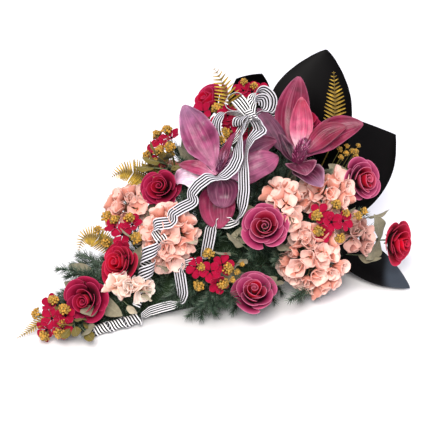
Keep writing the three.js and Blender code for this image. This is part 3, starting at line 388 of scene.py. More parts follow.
# The tint that each point carries, made lighter and darker by an amount in soft patches of a size in mm.
def mottled(tree, amount, patch):
    tint = addNode(tree, "ShaderNodeVertexColor", layer_name="tint")
    here = addNode(tree, "ShaderNodeTexCoord")
    noise = addNode(tree, "ShaderNodeTexNoise", {"Scale": 1 / (patch * mm), "Detail": 3.0},
                    {"Vector": here.outputs["Object"]})
    value = addNode(tree, "ShaderNodeMapRange", {"From Min": 0.3, "From Max": 0.7, "To Min": 1 - amount,
                                                 "To Max": 1 + amount}, {"Value": noise.outputs["Fac"]})
    return addNode(tree, "ShaderNodeHueSaturation", feeds={"Color": tint.outputs[0], "Value": value.outputs[0]})


# Petals of dyed polyester cloth, cut and pressed hot over a form. The eye sees a matt surface with a soft bloom
# of light on its rims, creases that run from its foot to its lip, so many to a petal's width, and a weave. The
# real cloth has 4 threads to the millimetre, and they are drawn at 1.1 so that they show.
def petalCloth(name, creases, creaseDepth, sheen=0.1, sheenColour="#ffd9e2", specular=0.15):
    material, tree = startMaterial(name)
    colour = mottled(tree, 0.14, patch=12)
    place = addNode(tree, "ShaderNodeUVMap", uv_map="place")
    stretched = addNode(tree, "ShaderNodeMapping", {"Scale": (creases, 1.6, 1)}, {"Vector": place.outputs[0]})
    crease = addNode(tree, "ShaderNodeTexNoise", {"Scale": 1.0, "Detail": 4.0, "Roughness": 0.6},
                     {"Vector": stretched.outputs[0]})
    here = addNode(tree, "ShaderNodeTexCoord")
    weave = addNode(tree, "ShaderNodeTexVoronoi", {"Scale": 1.1 / mm}, {"Vector": here.outputs["Object"]})
    both = addNode(tree, "ShaderNodeMath", {1: 0.12}, {0: weave.outputs["Distance"], 2: crease.outputs["Fac"]},
                   operation="MULTIPLY_ADD")
    bump = addNode(tree, "ShaderNodeBump", {"Strength": creaseDepth, "Distance": 1.2 * mm},
                   {"Height": both.outputs[0]})
    return endMaterial(material, {
        "Roughness": 0.75, "Sheen Weight": sheen, "Sheen Roughness": 0.45, "Sheen Tint": opaque(sheenColour),
        "Specular IOR Level": specular,
    }, {"Base Color": colour.outputs[0], "Normal": bump.outputs[0]})


# Magnolia petals of cloth with a satin coating. The eye sees a low gloss and fine raised veins 1.5 mm apart that fan
# out along the petal. Between the veins, lighter streak-like bands are the satin's sheen, painted into the colour.
def coatedSatin(veinsAcross=46, sheenStreaksAcross=17):
    material, tree = startMaterial("coated satin cloth")
    colour = mottled(tree, 0.42, patch=20)
    place = addNode(tree, "ShaderNodeUVMap", uv_map="place")
    fine = addNode(tree, "ShaderNodeMapping", {"Scale": (veinsAcross, 1.1, 1)}, {"Vector": place.outputs[0]})
    veins = addNode(tree, "ShaderNodeTexNoise", {"Scale": 1.0, "Detail": 5.0, "Roughness": 0.65},
                    {"Vector": fine.outputs[0]})
    broad = addNode(tree, "ShaderNodeMapping", {"Scale": (sheenStreaksAcross, 0.9, 1)}, {"Vector": place.outputs[0]})
    sheenStreaks = addNode(tree, "ShaderNodeTexNoise", {"Scale": 1.0, "Detail": 3.0}, {"Vector": broad.outputs[0]})
    # Painted sheen: in broad bands the colour is mixed with a light pink.
    pale = addNode(tree, "ShaderNodeMapRange", {"From Min": 0.48, "From Max": 0.7, "To Min": 0.0, "To Max": 0.34},
                   {"Value": sheenStreaks.outputs["Fac"]})
    sheenStreaked = addNode(tree, "ShaderNodeMix", {"B": opaque("#cb829c")},
                    {"Factor": pale.outputs[0], "A": colour.outputs[0]}, data_type="RGBA")
    thin = addNode(tree, "ShaderNodeMapRange", {"From Min": 0.52, "From Max": 0.64, "To Min": 0.0, "To Max": 0.55},
                   {"Value": veins.outputs["Fac"]})
    veined = addNode(tree, "ShaderNodeMix", {"B": opaque("#561a38")},
                     {"Factor": thin.outputs[0], "A": sheenStreaked.outputs[2]}, data_type="RGBA")
    bump = addNode(tree, "ShaderNodeBump", {"Strength": 0.55, "Distance": 0.8 * mm},
                   {"Height": veins.outputs["Fac"]})
    return endMaterial(material, {
        "Roughness": 0.32, "Sheen Weight": 0.03, "Sheen Roughness": 0.5, "Sheen Tint": opaque("#f3d7e8"),
        "Specular IOR Level": 0.3,
    }, {"Base Color": veined.outputs[2], "Normal": bump.outputs[0]})


# Leaves of cloth dusted with a pale flock. The eye sees a dry, chalky green with a pale rib, and side veins about
# 5 mm apart that slant to the tip: the sine of 12 turns of the place along it less 0.9 of the way to the side.
def dustyCloth():
    material, tree = startMaterial("flocked leaf cloth")
    colour = mottled(tree, 0.16, patch=8)
    place = addNode(tree, "ShaderNodeUVMap", uv_map="place")
    parts = addNode(tree, "ShaderNodeSeparateXYZ", feeds={0: place.outputs[0]})
    side = addNode(tree, "ShaderNodeMath", {1: 0.5}, {0: parts.outputs[0]}, operation="SUBTRACT")
    away = addNode(tree, "ShaderNodeMath", feeds={0: side.outputs[0]}, operation="ABSOLUTE")
    slant = addNode(tree, "ShaderNodeMath", {1: -0.9}, {0: away.outputs[0], 2: parts.outputs[1]},
                    operation="MULTIPLY_ADD")
    turns = addNode(tree, "ShaderNodeMath", {1: 75.0}, {0: slant.outputs[0]}, operation="MULTIPLY")
    wave = addNode(tree, "ShaderNodeMath", feeds={0: turns.outputs[0]}, operation="SINE")
    vein = addNode(tree, "ShaderNodeMapRange", {"From Min": 0.75, "From Max": 1.0}, {"Value": wave.outputs[0]})
    rib = addNode(tree, "ShaderNodeMapRange", {"From Min": 0.05, "From Max": 0.0}, {"Value": away.outputs[0]})
    lines = addNode(tree, "ShaderNodeMath", feeds={0: vein.outputs[0], 1: rib.outputs[0]}, operation="MAXIMUM")
    share = addNode(tree, "ShaderNodeMath", {1: 0.25}, {0: lines.outputs[0]}, operation="MULTIPLY")
    lined = addNode(tree, "ShaderNodeMix", {"B": opaque("#bdbca0")},
                    {"Factor": share.outputs[0], "A": colour.outputs[0]}, data_type="RGBA")
    bump = addNode(tree, "ShaderNodeBump", {"Strength": 0.5, "Distance": 0.6 * mm}, {"Height": lines.outputs[0]})
    return endMaterial(material, {
        "Roughness": 0.9, "Sheen Weight": 0.12, "Sheen Roughness": 0.6, "Sheen Tint": opaque("#dfe6d8"),
        "Specular IOR Level": 0.2,
    }, {"Base Color": lined.outputs[2], "Normal": bump.outputs[0]})


# Moulded polyethylene, as of stems, fern fronds and seed heads, or slit film, as of fir needles. The eye sees an
# even, slightly waxy surface with a grain of 1.2 mm.
def mouldedPlastic(name, roughness, patches=0.18):
    material, tree = startMaterial(name)
    colour = mottled(tree, patches, patch=6)
    here = addNode(tree, "ShaderNodeTexCoord")
    grain = addNode(tree, "ShaderNodeTexNoise", {"Scale": 1 / (1.2 * mm), "Detail": 2.0},
                    {"Vector": here.outputs["Object"]})
    bump = addNode(tree, "ShaderNodeBump", {"Strength": 0.3, "Distance": 0.4 * mm},
                   {"Height": grain.outputs["Fac"]})
    return endMaterial(material, {"Roughness": roughness, "IOR": 1.5},
                       {"Base Color": colour.outputs[0], "Normal": bump.outputs[0]})


# Black florist's sheet: stiff paper coated with a thin plastic. The eye sees a deep black with a soft broad sheen,
# slow buckles, 14 to the metre, and a trace of the paper's fibre, drawn at 0.9 to the millimetre so that it shows.
def coatedPaper():
    material, tree = startMaterial("coated black paper")
    colour = mottled(tree, 0.1, patch=50)
    here = addNode(tree, "ShaderNodeTexCoord")
    buckle = addNode(tree, "ShaderNodeTexNoise", {"Scale": 0.014 / mm, "Detail": 1.0},
                     {"Vector": here.outputs["Object"]})
    fibre = addNode(tree, "ShaderNodeTexNoise", {"Scale": 0.9 / mm, "Detail": 2.0},
                    {"Vector": here.outputs["Object"]})
    both = addNode(tree, "ShaderNodeMath", {1: 0.02}, {0: fibre.outputs["Fac"], 2: buckle.outputs["Fac"]},
                   operation="MULTIPLY_ADD")
    bump = addNode(tree, "ShaderNodeBump", {"Strength": 0.3, "Distance": 6 * mm}, {"Height": both.outputs[0]})
    gloss = addNode(tree, "ShaderNodeMapRange", {"To Min": 0.42, "To Max": 0.58}, {"Value": buckle.outputs["Fac"]})
    return endMaterial(material, {"Specular IOR Level": 0.1},
                       {"Base Color": colour.outputs[0], "Normal": bump.outputs[0], "Roughness": gloss.outputs[0]})


# Woven polyester ribbon, white with black stripes along it, and white at both edges. The eye sees fine ribs across
# its width. They are 0.5 mm apart in the real one, and drawn at 1.2 mm so that they show.
def stripedRibbon(stripes=4, white=0.43, ribs=1.2):     # white: its share of one stripe and gap; ribs: mm
    material, tree = startMaterial("striped woven ribbon")
    tint = addNode(tree, "ShaderNodeVertexColor", layer_name="tint")
    place = addNode(tree, "ShaderNodeUVMap", uv_map="place")
    parts = addNode(tree, "ShaderNodeSeparateXYZ", feeds={0: place.outputs[0]})
    turns = addNode(tree, "ShaderNodeMath", {1: stripes + white}, {0: parts.outputs[0]}, operation="MULTIPLY")
    share = addNode(tree, "ShaderNodeMath", feeds={0: turns.outputs[0]}, operation="FRACT")
    black = addNode(tree, "ShaderNodeMath", {1: white}, {0: share.outputs[0]}, operation="GREATER_THAN")
    colour = addNode(tree, "ShaderNodeMix", {"B": opaque("#0b090c")},
                     {"Factor": black.outputs[0], "A": tint.outputs[0]}, data_type="RGBA")
    along = addNode(tree, "ShaderNodeMath", {1: 2 * math.pi / (ribs * mm)}, {0: parts.outputs[1]},
                    operation="MULTIPLY")
    rib = addNode(tree, "ShaderNodeMath", feeds={0: along.outputs[0]}, operation="SINE")
    bump = addNode(tree, "ShaderNodeBump", {"Strength": 0.35, "Distance": 0.3 * mm}, {"Height": rib.outputs[0]})
    return endMaterial(material, {
        "Roughness": 0.55, "Sheen Weight": 0.05, "Sheen Roughness": 0.4, "Specular IOR Level": 0.2,
    }, {"Base Color": colour.outputs[2], "Normal": bump.outputs[0]})


# A surface of small cells, sunk by a depth in mm, and darkened in their sunken middles with painted shade.
def celled(name, cell, dyes, strength, depth, **values):
    material, tree = startMaterial(name)
    here = addNode(tree, "ShaderNodeTexCoord")
    cells = addNode(tree, "ShaderNodeTexVoronoi", {"Scale": 1 / (cell * mm)}, {"Vector": here.outputs["Object"]})
    colour = addNode(tree, "ShaderNodeMix", {"A": opaque(dyes[0]), "B": opaque(dyes[1])},
                     {"Factor": cells.outputs["Distance"]}, data_type="RGBA")
    bump = addNode(tree, "ShaderNodeBump", {"Strength": strength, "Distance": depth * mm},
                   {"Height": cells.outputs["Distance"]})
    return endMaterial(material, values, {"Base Color": colour.outputs[2], "Normal": bump.outputs[0]})


# Dry floral foam: phenolic foam with open cells. The eye sees a dull, crumbly green with pinholes 1.25 mm apart,
# whose shade is painted in.
def dryFoam():
    return celled("dry floral foam", 1.25, ("#22301f", "#3d5238"), 0.6, 0.6,
                  **{"Roughness": 0.95, "Specular IOR Level": 0.1})


# The board under the foam: pressed polypropylene. The eye sees a dark, even green with a leather grain of 2 mm,
# whose pits are darkened with painted shade.
def pressedBoard():
    return celled("pressed polypropylene", 2, ("#18221a", "#243128"), 0.4, 0.3, **{"Roughness": 0.6, "IOR": 1.49})


roseCloth = petalCloth("dyed rose cloth", creases=9, creaseDepth=0.6, sheen=0.03, specular=0.06)
paleCloth = petalCloth("dyed hydrangea cloth", creases=6, creaseDepth=0.35, sheenColour="#fff0e6")
crimsonCloth = petalCloth("dyed crimson cloth", creases=5, creaseDepth=0.5, sheen=0.04, specular=0.08)
satinCloth = coatedSatin()
leafCloth = dustyCloth()
blackPaper = coatedPaper()
ribbonCloth = stripedRibbon()
stemPlastic = mouldedPlastic("moulded stem polyethylene", 0.6)
goldPlastic = mouldedPlastic("painted gold polyethylene", 0.55, patches=0.3)
needleFilm = mouldedPlastic("slit needle film", 0.5, patches=0.3)
stamenPlastic = mouldedPlastic("dyed stamen plastic", 0.22, patches=0.35)

for node, material in (("foam_block", dryFoam()), ("base_board", pressedBoard())):
    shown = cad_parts[node].data.materials
    shown.clear()
    shown.append(material)
print("materials made")


# Camera, floor and light

shot = {
    "azimuth": -30, "elevation": 32,     # degrees
    "middle": (0.022, -0.013, 0.148),    # what the middle of the picture looks at
    "distance": 2.6,
    "lens": 108.8, "sensor": 36,         # mm
}
viewRows = facing(shot["azimuth"], shot["elevation"])     # to the viewer's right, up, and towards the viewer


# Stands a camera or a light at a place so that it looks at a target.
def standAt(thing, place, target):
    thing.location = place
    thing.rotation_euler = (Vector(target) - Vector(place)).to_track_quat("-Z", "Y").to_euler()
    bpy.context.scene.collection.objects.link(thing)


# The camera stands off from what it looks at by the distance, along the way to the viewer.
def makeCamera():
    camera = bpy.data.objects.new("camera", bpy.data.cameras.new("camera"))
    camera.data.lens = shot["lens"]
    camera.data.sensor_width = shot["sensor"]
    middle = np.array(shot["middle"])
    standAt(camera, middle + viewRows[2] * shot["distance"], middle)
    bpy.context.scene.camera = camera
    bpy.context.scene.view_settings.view_transform = "Standard"     # keeps the reds and the white clean


studio = {
    "floor": "#f7f7f9", "width": 18, "drop": 0.0003,     # m: how wide the floor is and how far it lies below
    "sky": "#f4f4fb", "skyStrength": 0.64,
    "aim": (0, 0, 0.1),     # what the soft boxes look at
    # each soft box: where it stands, how wide it is, its power in watts and its colour
    "boxes": [
        ((-1.1, -1.5, 2.2), 1.5, 82, "#fffaf4"),
        ((1.9, -1.0, 1.5), 1.6, 22, "#f4f3ff"),
        ((0.3, 1.9, 1.9), 1.8, 26, "#f7f3ff"),
    ],
}


# A square floor, an even sky and round soft boxes.
def makeStudio():
    half = studio["width"] / 2
    mesh = bpy.data.meshes.new("floor")
    corners = [(x * half, y * half, -studio["drop"]) for x, y in ((-1, -1), (1, -1), (1, 1), (-1, 1))]
    mesh.from_pydata(corners, [], [(0, 1, 2, 3)])
    material, _ = startMaterial("matt white floor")
    mesh.materials.append(endMaterial(material, {
        "Base Color": opaque(studio["floor"]), "Roughness": 0.7, "Specular IOR Level": 0.2,
    }))
    floor = bpy.data.objects.new("floor", mesh)
    bpy.context.scene.collection.objects.link(floor)
    world = bpy.data.worlds.new("studio")
    bpy.context.scene.world = world
    world.use_nodes = True
    sky = world.node_tree.nodes["Background"]
    sky.inputs["Color"].default_value = opaque(studio["sky"])
    sky.inputs["Strength"].default_value = studio["skyStrength"]
    for number, (place, width, power, colour) in enumerate(studio["boxes"], 1):
        light = bpy.data.objects.new(f"softBox{number}", bpy.data.lights.new(f"softBox{number}", "AREA"))
        light.data.shape = "DISK"
        light.data.size = width
        light.data.energy = power
        light.data.color = paint(colour)
        standAt(light, place, studio["aim"])


makeCamera()
makeStudio()
print("camera, floor and light made")


# Roses

roseStyle = {
    "radius": 43, "height": 46, "foot": 6.5, "thickness": 0.6,     # mm
    # from the outside in: reach and lip height as shares of the rose, petals, turn, how far the lip rolls out
    "whorls": [
        (0.84, 0.60, 5, 10, 0.20),
        (0.66, 0.78, 4, 52, 0.17),
        (0.46, 0.92, 3, 85, 0.10),
        (0.30, 0.97, 2, 20, 0.03),
    ],
    "winds": 1.35,     # turns of the furled heart
}
roseStemStyle = {
    "calyx": ([-9.3, -7, -4, -1.5, -0.4], [3, 5, 7.4, 8.4, 8.5]), "corners": 14,     # heights and radii, mm
    "neck": 8.3, "radius": 1.7, "rings": 12, "stemCorners": 8,     # mm: how far down the stem starts, its radius
    "sepals": 5, "sepalLength": 17, "sepalWidth": 7, "sepalThickness": 0.5, "sepalRoot": -1.4,     # mm
    "leafRoot": 14, "leafLength": 68, "leafLift": 0.12, "leafWidth": 0.27,     # mm, and shares of its length
    "green": "#5f6f52",
}
roseDyes = {   # heart, body and rim; the rim's dye also paints highlights on the lips
    "crimson": ("#b4082c", "#85082f", "#c23a64"),
    "red": ("#c00824", "#a10828", "#cf3a5c"),
    "mauve": ("#c00628", "#93204f", "#d67a9c"),
}
roses = [   # mm and degrees: where the bloom's base is, which way it faces, its size and its leaves' turns
    {"at": (-274, -40, 66), "azimuth": -48, "elevation": 28, "size": 1, "dye": "crimson", "leaves": [165, 215, 338]},
    {"at": (-195, -43, 115), "azimuth": -78, "elevation": 38, "size": 0.95, "dye": "red", "leaves": [70, 160]},
    {"at": (-72, 24, 214), "azimuth": -48, "elevation": 40, "size": 0.95, "dye": "crimson", "leaves": [245, 170]},
    {"at": (67, -130, 168), "azimuth": -38, "elevation": 42, "size": 1.05, "dye": "mauve", "leaves": [130, 198, 25]},
    {"at": (13, -180, 52), "azimuth": -25, "elevation": 66, "size": 1, "dye": "mauve", "leaves": [32, 116]},
    {"at": (290, -114, 200), "azimuth": 4, "elevation": 30, "size": 1.05, "dye": "mauve", "leaves": [125, 215]},
    {"at": (326, -193, 90), "azimuth": 22, "elevation": 15, "size": 1, "dye": "red", "leaves": [103, 188]},
    {"at": (110, 134, 301), "azimuth": -100, "elevation": 50, "size": 1, "dye": "crimson", "leaves": []},
    {"at": (252, 36, 258), "azimuth": 30, "elevation": 70, "size": 1, "dye": "crimson", "leaves": []},
    {"at": (96, 160, 136), "azimuth": 170, "elevation": 35, "size": 1, "dye": "mauve", "leaves": [150, 20, 270]},
]


# A whorl of petals. With s across and t up a petal, its distance from the axis goes from the foot to the reach as
# the sine of a quarter turn times t, and its height as t to the power 1.3. Past t = 0.5 its lip rolls out with the
# power 1.4 of the rest and down with the power 2.4. Its top edge falls away to its sides, one side stands outside
# the next petal, and the lip ripples.
def roseWhorl(reach, lip, count, turn, flare, radius, height, chance, rows=16, columns=15):
    s = np.linspace(-1, 1, columns)[None, None, :]
    t = np.linspace(0.0, 1.0, rows)[None, :, None] * (1 - 0.3 * np.abs(s) ** 2.6)
    one = (count, 1, 1)
    middle = turn + 360 * np.arange(count).reshape(one) / count + chance.normal(0, 9, one)
    span = 250 / count * mix(0.5, 1.0, t ** 0.6)
    reach = reach * (1 + chance.normal(0, 0.07, one))
    out = mix(roseStyle["foot"] * mm, reach * radius, np.sin(math.pi / 2 * t) ** 0.9)
    up = lip * height * (1 + chance.normal(0, 0.04, one)) * t ** 1.3
    rolled = np.clip((t - 0.5) / 0.5, 0, 1)
    out = out + flare * radius * rolled ** 1.4 + 0.075 * radius * s * t ** 0.5
    up = up - 0.8 * flare * height * rolled ** 2.4
    phase = chance.uniform(0, 2 * math.pi, one)
    out = out + 0.035 * radius * np.sin(2.6 * s + phase) * t ** 3
    up = up + 0.03 * height * np.sin(3.8 * s + 2 * phase) * t ** 3
    return polar(out, np.radians(middle + s * span), up)


# The furled heart: one sheet wound in a spiral, its radius growing with its angle, and its lip leaning out.
def roseHeart(radius, height, rows=9, columns=60):
    turn = np.linspace(0, 2 * math.pi * roseStyle["winds"], columns)[None, None, :]
    t = np.linspace(0.25, 1, rows)[None, :, None]
    share = turn / turn.max()
    out = radius * (0.03 + 0.16 * share) * (0.8 + 0.25 * np.sin(math.pi * t * 0.7)) + 0.03 * radius * t ** 6
    up = height * t * (0.96 + 0.02 * np.sin(1.6 * turn) - 0.06 * (1 - share))
    return polar(out, turn, up)


# A rose: its whorls from the outside in, and its heart.
def makeRose(number, rose):
    chance = np.random.default_rng(100 + number)
    place, rows = standing(rose)
    radius, height = (roseStyle[key] * rose["size"] * mm for key in ("radius", "height"))
    thickness = roseStyle["thickness"] * mm
    heart, body, rim = (paint(text) for text in roseDyes[rose["dye"]])
    heap = Heap()

    # Painted shade: deep down a petal is dark, and its upper part bright. Its rim, and the upper part of an outer
    # petal, lean to the lighter rim dye as a painted highlight.
    def shadedTintOf(shape, reach, inside):
        t = np.linspace(0, 1, shape[1])[None, :, None, None]
        dye = mix(heart, body, ease(reach, 0.36, 0.6)) * chance.uniform(0.82, 1.15, (shape[0], 1, 1, 1))
        dye = mix(dye, rim, 0.55 * ease(t, 0.94, 1.0) + 0.3 * ease(t, 0.6, 1) * (reach > 0.4))
        return dye * (mix(0.02, 1, ease(t, 0.5, 0.88)) if inside else mix(0.12, 1, ease(t, 0.2, 0.8)))

    lean, squash = chance.uniform(0, 2 * math.pi), chance.uniform(0.8, 0.95)
    turned = turnedBy(lean)

    # The inner whorls lean a little to one side, and are narrower one way than the other.
    def placed(petals, reach):
        narrow = np.array([mix(squash, 1, reach), 1, 1])
        shift = np.array([0.1 * (1 - reach) * radius, 0, 0])
        return ((petals @ turned.T) * narrow + shift) @ turned @ rows + place

    for reach, lip, count, turn, flare in roseStyle["whorls"]:
        petals = roseWhorl(reach, lip, count, turn, flare, radius, height, chance)
        fronts, backs = (shadedTintOf(petals.shape, reach, inside) for inside in (True, False))
        heap.addSheets(placed(petals, reach), fronts, thickness, backs)
    furled = roseHeart(radius, height)
    bud = mix(shadedTintOf(furled.shape, 0.1, False), rim, 0.45)
    heap.addSheets(placed(furled, 0.2), shadedTintOf(furled.shape, 0.1, True), thickness, bud)
    heap.build(f"roseHead{number}", roseCloth, [f"rose_bloom_{number}"])


leafDyes = {
    "dusty": {"top": "#707a66", "dark": "#404d3a", "back": "#8b846e", "blush": "#978473"},
    "olive": {"top": "#7a6414", "dark": "#3e340c", "back": "#6f5f1e", "blush": "#96741c"},
    "pale": {"top": "#b3a992", "dark": "#958e79", "back": "#bfb39b", "blush": "#c4b8a2"},
}
leafThickness = 0.6     # mm


# Leaves along a stem, pointed at both ends, folded up along the rib by 0.28 of the half width, and drooping: the
# height is lift times the length times the sine of t times pi / 1.6, and the sides wave. Each has a tint between
# its dye's top and dark, and one in four has a blush.
def addLeaves(heap, starts, outs, sides, ups, lengths, lifts, widths, dye, chance, rows=14, columns=9):
    count = len(starts)
    starts, outs, sides, ups = (each[:, None, None] for each in (starts, outs, sides, ups))
    lengths, lifts, widths = (
        np.broadcast_to(each, count)[:, None, None, None] for each in (lengths, lifts, widths)
    )
    s = np.linspace(-1, 1, columns)[None, None, :, None]
    t = np.linspace(0.015, 0.99, rows)[None, :, None, None]
    half = widths * lengths * leafOutline(t)
    phase = chance.uniform(0, 6.28, lengths.shape)
    rise = lifts * lengths * np.sin(t * math.pi / 1.6) + 0.28 * half * np.abs(s) ** 1.3
    rise = rise + 0.05 * lengths * s ** 2 * np.sin(9 * t + phase + s) * leafOutline(t)
    top, dark, back, blush = (paint(leafDyes[dye][key]) for key in ("top", "dark", "back", "blush"))
    tints = mix(top, dark, chance.uniform(0, 1, (count, 1, 1, 1)))
    blushed = chance.uniform(0, 1, (count, 1, 1, 1)) > 0.75
    tints = np.where(blushed, mix(tints, blush, 0.5), tints)
    leaves = starts + outs * lengths * t + sides * s * half + ups * rise
    heap.addSheets(leaves, tints, leafThickness * mm, back)


# A rose's calyx and stem, sepals that fold back from the calyx, and leaves round the stem.
def makeRoseStem(number, rose):
    chance = np.random.default_rng(300 + number)
    place, rows = standing(rose)
    style = roseStemStyle
    green = paint(style["green"])
    node = f"rose_stem_{number}"
    heap = Heap()
    top, root = addCalyx(heap, node, rose, style, green, green * 0.8)
    turns = 36 + 360 / style["sepals"] * np.arange(style["sepals"])
    sepals = bentPetals(turns, style["sepalLength"] * mm, style["sepalWidth"] * mm, opening=84, bend=34, cup=0.3,
                        outline=leafOutline, rows=8, columns=5)
    sepals = sepals @ rows + place + rows[2] * style["sepalRoot"] * mm
    heap.addSheets(sepals, green * 1.15, style["sepalThickness"] * mm)
    if rose["leaves"]:
        turns = np.radians(rose["leaves"])
        start = mix(top, root, style["leafRoot"] * mm / np.linalg.norm(root - top))
        starts, ups = (np.tile(each, (len(turns), 1)) for each in (start, rows[2]))
        addLeaves(heap, starts, around(rows, turns), around(rows, turns + math.pi / 2), ups,
                  style["leafLength"] * mm, style["leafLift"], style["leafWidth"], "dusty", chance)
    heap.build(f"roseStem{number}", leafCloth, [node])


for number, rose in enumerate(roses, 1):
    makeRose(number, rose)
    makeRoseStem(number, rose)
print("roses made")


# Magnolias

magnolias = [
    {
        "at": (22, -26, 266), "azimuth": -30, "elevation": 42,
        # each petal: its route and the way that its inner side looks, in the frame of one who stands before the
        # bouquet (right, up and nearer, mm), then width, cup, wave, and the dyes of its foot, body, tip and rim. The
        # dyes hold painted shade and highlights: dark feet and the darkest low petals are painted shade, and light
        # rims on dark petals are painted highlights.
        "petals": [
            ([(-2, -14, 4), (-22, 28, -8), (-47, 80, -18), (-68, 120, -6)], (0.1, -0.1, 1), 70, 0.3, 0.3,
             "#b86c90", "#83305a", "#8a6080", "#c08aa8"),
            ([(6, -18, 2), (50, -8, 14), (86, 6, 16), (116, 20, 4)], (-0.1, 0.35, 1), 62, 0.2, 0.2,
             "#d0a0b8", "#935070", "#863a5c", "#661836"),
            ([(12, -8, -2), (46, 24, -8), (82, 44, -14), (114, 52, -22)], (-0.1, -0.3, 1), 46, 0.3, 0.25,
             "#5c2442", "#6c3c58", "#78304e", "#945473"),
            ([(2, -18, 8), (9, 4, 20), (20, 30, 28), (34, 66, 20)], (-0.9, 0.1, 0.45), 36, 0.4, 0.06,
             "#44082a", "#6c0f34", "#782848", "#9a3c62"),
            ([(-4, -16, 8), (-26, -10, 18), (-50, -2, 18), (-76, 4, 8)], (0, 0.5, 0.85), 30, 0.4, 0.06,
             "#d894b0", "#922a50", "#882846", "#b05a7a"),
            ([(-8, -20, 2), (-36, -22, 14), (-64, -18, 16), (-86, -24, -4)], (0, 0.45, 0.9), 50, 0.1, 0.35,
             "#b57f9f", "#ecd6e4", "#a8648c", "#f2e6ee"),
            ([(2, -22, 0), (-2, -56, 18), (-2, -88, 20), (2, -120, 6)], (0, 0.3, 1), 70, 0.25, 0.08,
             "#460f2a", "#7d1e40", "#a23a5c", "#641834"),
            ([(4, -20, 8), (8, -42, 28), (8, -62, 36), (7, -80, 30)], (0, 0.45, 0.9), 60, 0.35, 0.05,
             "#3e0e2a", "#5a223e", "#6c3c54", "#36081e"),
        ],
        "cone": (20, 30, 8),     # where its tip is from its foot, in the same frame, and its radius
        "stamens": (34, 0.9, "#e6b4d2", "#4c1438"),     # length and radius in mm, and dyes
    },
    {
        "at": (175, -71, 264), "azimuth": -6, "elevation": 52,
        "petals": [
            ([(0, -4, 0), (-8, 40, -18), (-8, 88, -26), (5, 162, -14)], (0, -0.15, 1), 70, 0.3, 0.06,
             "#963c60", "#781838", "#7a2240", "#aa5272"),
            ([(2, 0, 8), (6, 36, -2), (9, 72, -6), (9, 120, -2)], (0, -0.1, 1), 46, 0.35, 0.03,
             "#f6dbe4", "#b84468", "#86152f", "#d87088"),
            ([(8, -2, 2), (38, 24, 0), (78, 54, -6), (130, 68, 2)], (-0.1, 0.1, 1), 58, 0.3, 0.05,
             "#a85278", "#7c1638", "#761838", "#a44466"),
            ([(8, 2, 10), (32, 26, 14), (60, 50, 10), (95, 62, 12)], (-0.15, 0, 1), 40, 0.4, 0.03,
             "#8a2c4e", "#74102e", "#80263c", "#6c3038"),
            ([(-4, -2, -6), (-24, 20, -12), (-50, 64, -10), (-78, 98, -4)], (0.2, 0.1, -1), 34, -0.3, 0.05,
             "#581430", "#5c2842", "#70425c", "#8c1a3a"),
            ([(-4, -10, 4), (-20, 6, 8), (-32, 30, 6), (-36, 50, 0)], (0.75, 0.1, 0.65), 40, 0.5, 0.1,
             "#1e0614", "#2c0a1e", "#46142e", "#b8708f"),
            ([(0, -14, 2), (12, -30, 22), (28, -44, 36), (46, -58, 42)], (0.1, 0.85, 0.6), 68, 0.4, 0.05,
             "#3a1028", "#561a36", "#8c6680", "#cfa2b6"),
            ([(0, -10, 6), (4, -18, 26), (9, -26, 44), (14, -36, 56)], (0, 0.8, 0.6), 62, 0.4, 0.03,
             "#30091a", "#64203a", "#863a54", "#dc98ae"),
        ],
        "cone": (16, 46, 14),
        "stamens": (17, 2.5, "#d078a0", "#5a1638"),
    },
]
magnoliaStyle = {
    "thickness": 0.7, "rows": 34, "columns": 21, "back": "#7c546c",     # mm
    "coneFoot": (0, -8, 4), "coneDepth": 18, "coneRings": 14, "stamens": 120,     # mm; the tip is nearer by a depth
}
magnoliaStemStyle = {
    "calyx": ([-8.3, -6, -3, -1, -0.4], [4, 6.5, 8.6, 9, 9]), "corners": 14,     # heights and radii, mm
    "neck": 7.3, "radius": 2.2, "rings": 14, "stemCorners": 10,
    "green": "#55503c", "stem": "#4d4a36",
}


# A petal along its route: its half width follows the outline, its sides rise as those of bent petals do, and fine
# pleats run along it, 0.035 of the half width high.
def routedPetal(route, face, width, cup, wave, phase):
    rows, columns = magnoliaStyle["rows"], magnoliaStyle["columns"]
    path = curveThrough(route, rows)
    ahead = aheadOf(path)
    across = unit(np.cross(ahead, unit(np.array(face, float))))
    up = np.cross(across, ahead)
    s = np.linspace(-1, 1, columns)[None, :, None]
    t = np.linspace(0, 1, rows)[:, None, None]
    half = width / 2 * boatOutline(mix(0.05, 0.99, t))
    rise = sideRise(half, s, t, cup, wave, phase) + 0.035 * half * np.cos(9 * s + 2 * t) * np.sin(math.pi * t)
    return path[:, None] + across[:, None] * s * half + up[:, None] * rise


# A bloom of routed petals. A petal's front goes from its foot's dye to its body's and its tip's, with its rim's
# round its edges, and its back is duller. So the front carries the painted shade and highlights that the dyes hold.
def makeMagnolia(number, bloom):
    chance = np.random.default_rng(500 + number)
    place = np.array(bloom["at"]) * mm
    t = np.linspace(0, 1, magnoliaStyle["rows"])[None, :, None, None]
    s = np.abs(np.linspace(-1, 1, magnoliaStyle["columns"]))[None, None, :, None]
    heap = Heap()
    for route, face, width, cup, wave, *dyes in bloom["petals"]:
        foot, body, tip, rim = (paint(text) for text in dyes)
        petal = routedPetal(route, face, width, cup, wave, chance.uniform(0, 1))
        front = mix(mix(foot, body, ease(t, 0.08, 0.5)), tip, ease(t, 0.55, 1))
        front = mix(front, rim, 0.65 * np.maximum(ease(s, 0.86, 1), ease(t, 0.94, 1)))
        back = mix(mix(body, tip, t), paint(magnoliaStyle["back"]), 0.35) + 0 * s
        heap.addSheets(petal[None] * mm @ viewRows + place, front, magnoliaStyle["thickness"] * mm, back)
    heap.build(f"magnolia{number}", satinCloth, [f"magnolia_bloom_{number}"])
    makeStamenCone(number, bloom, place, chance)


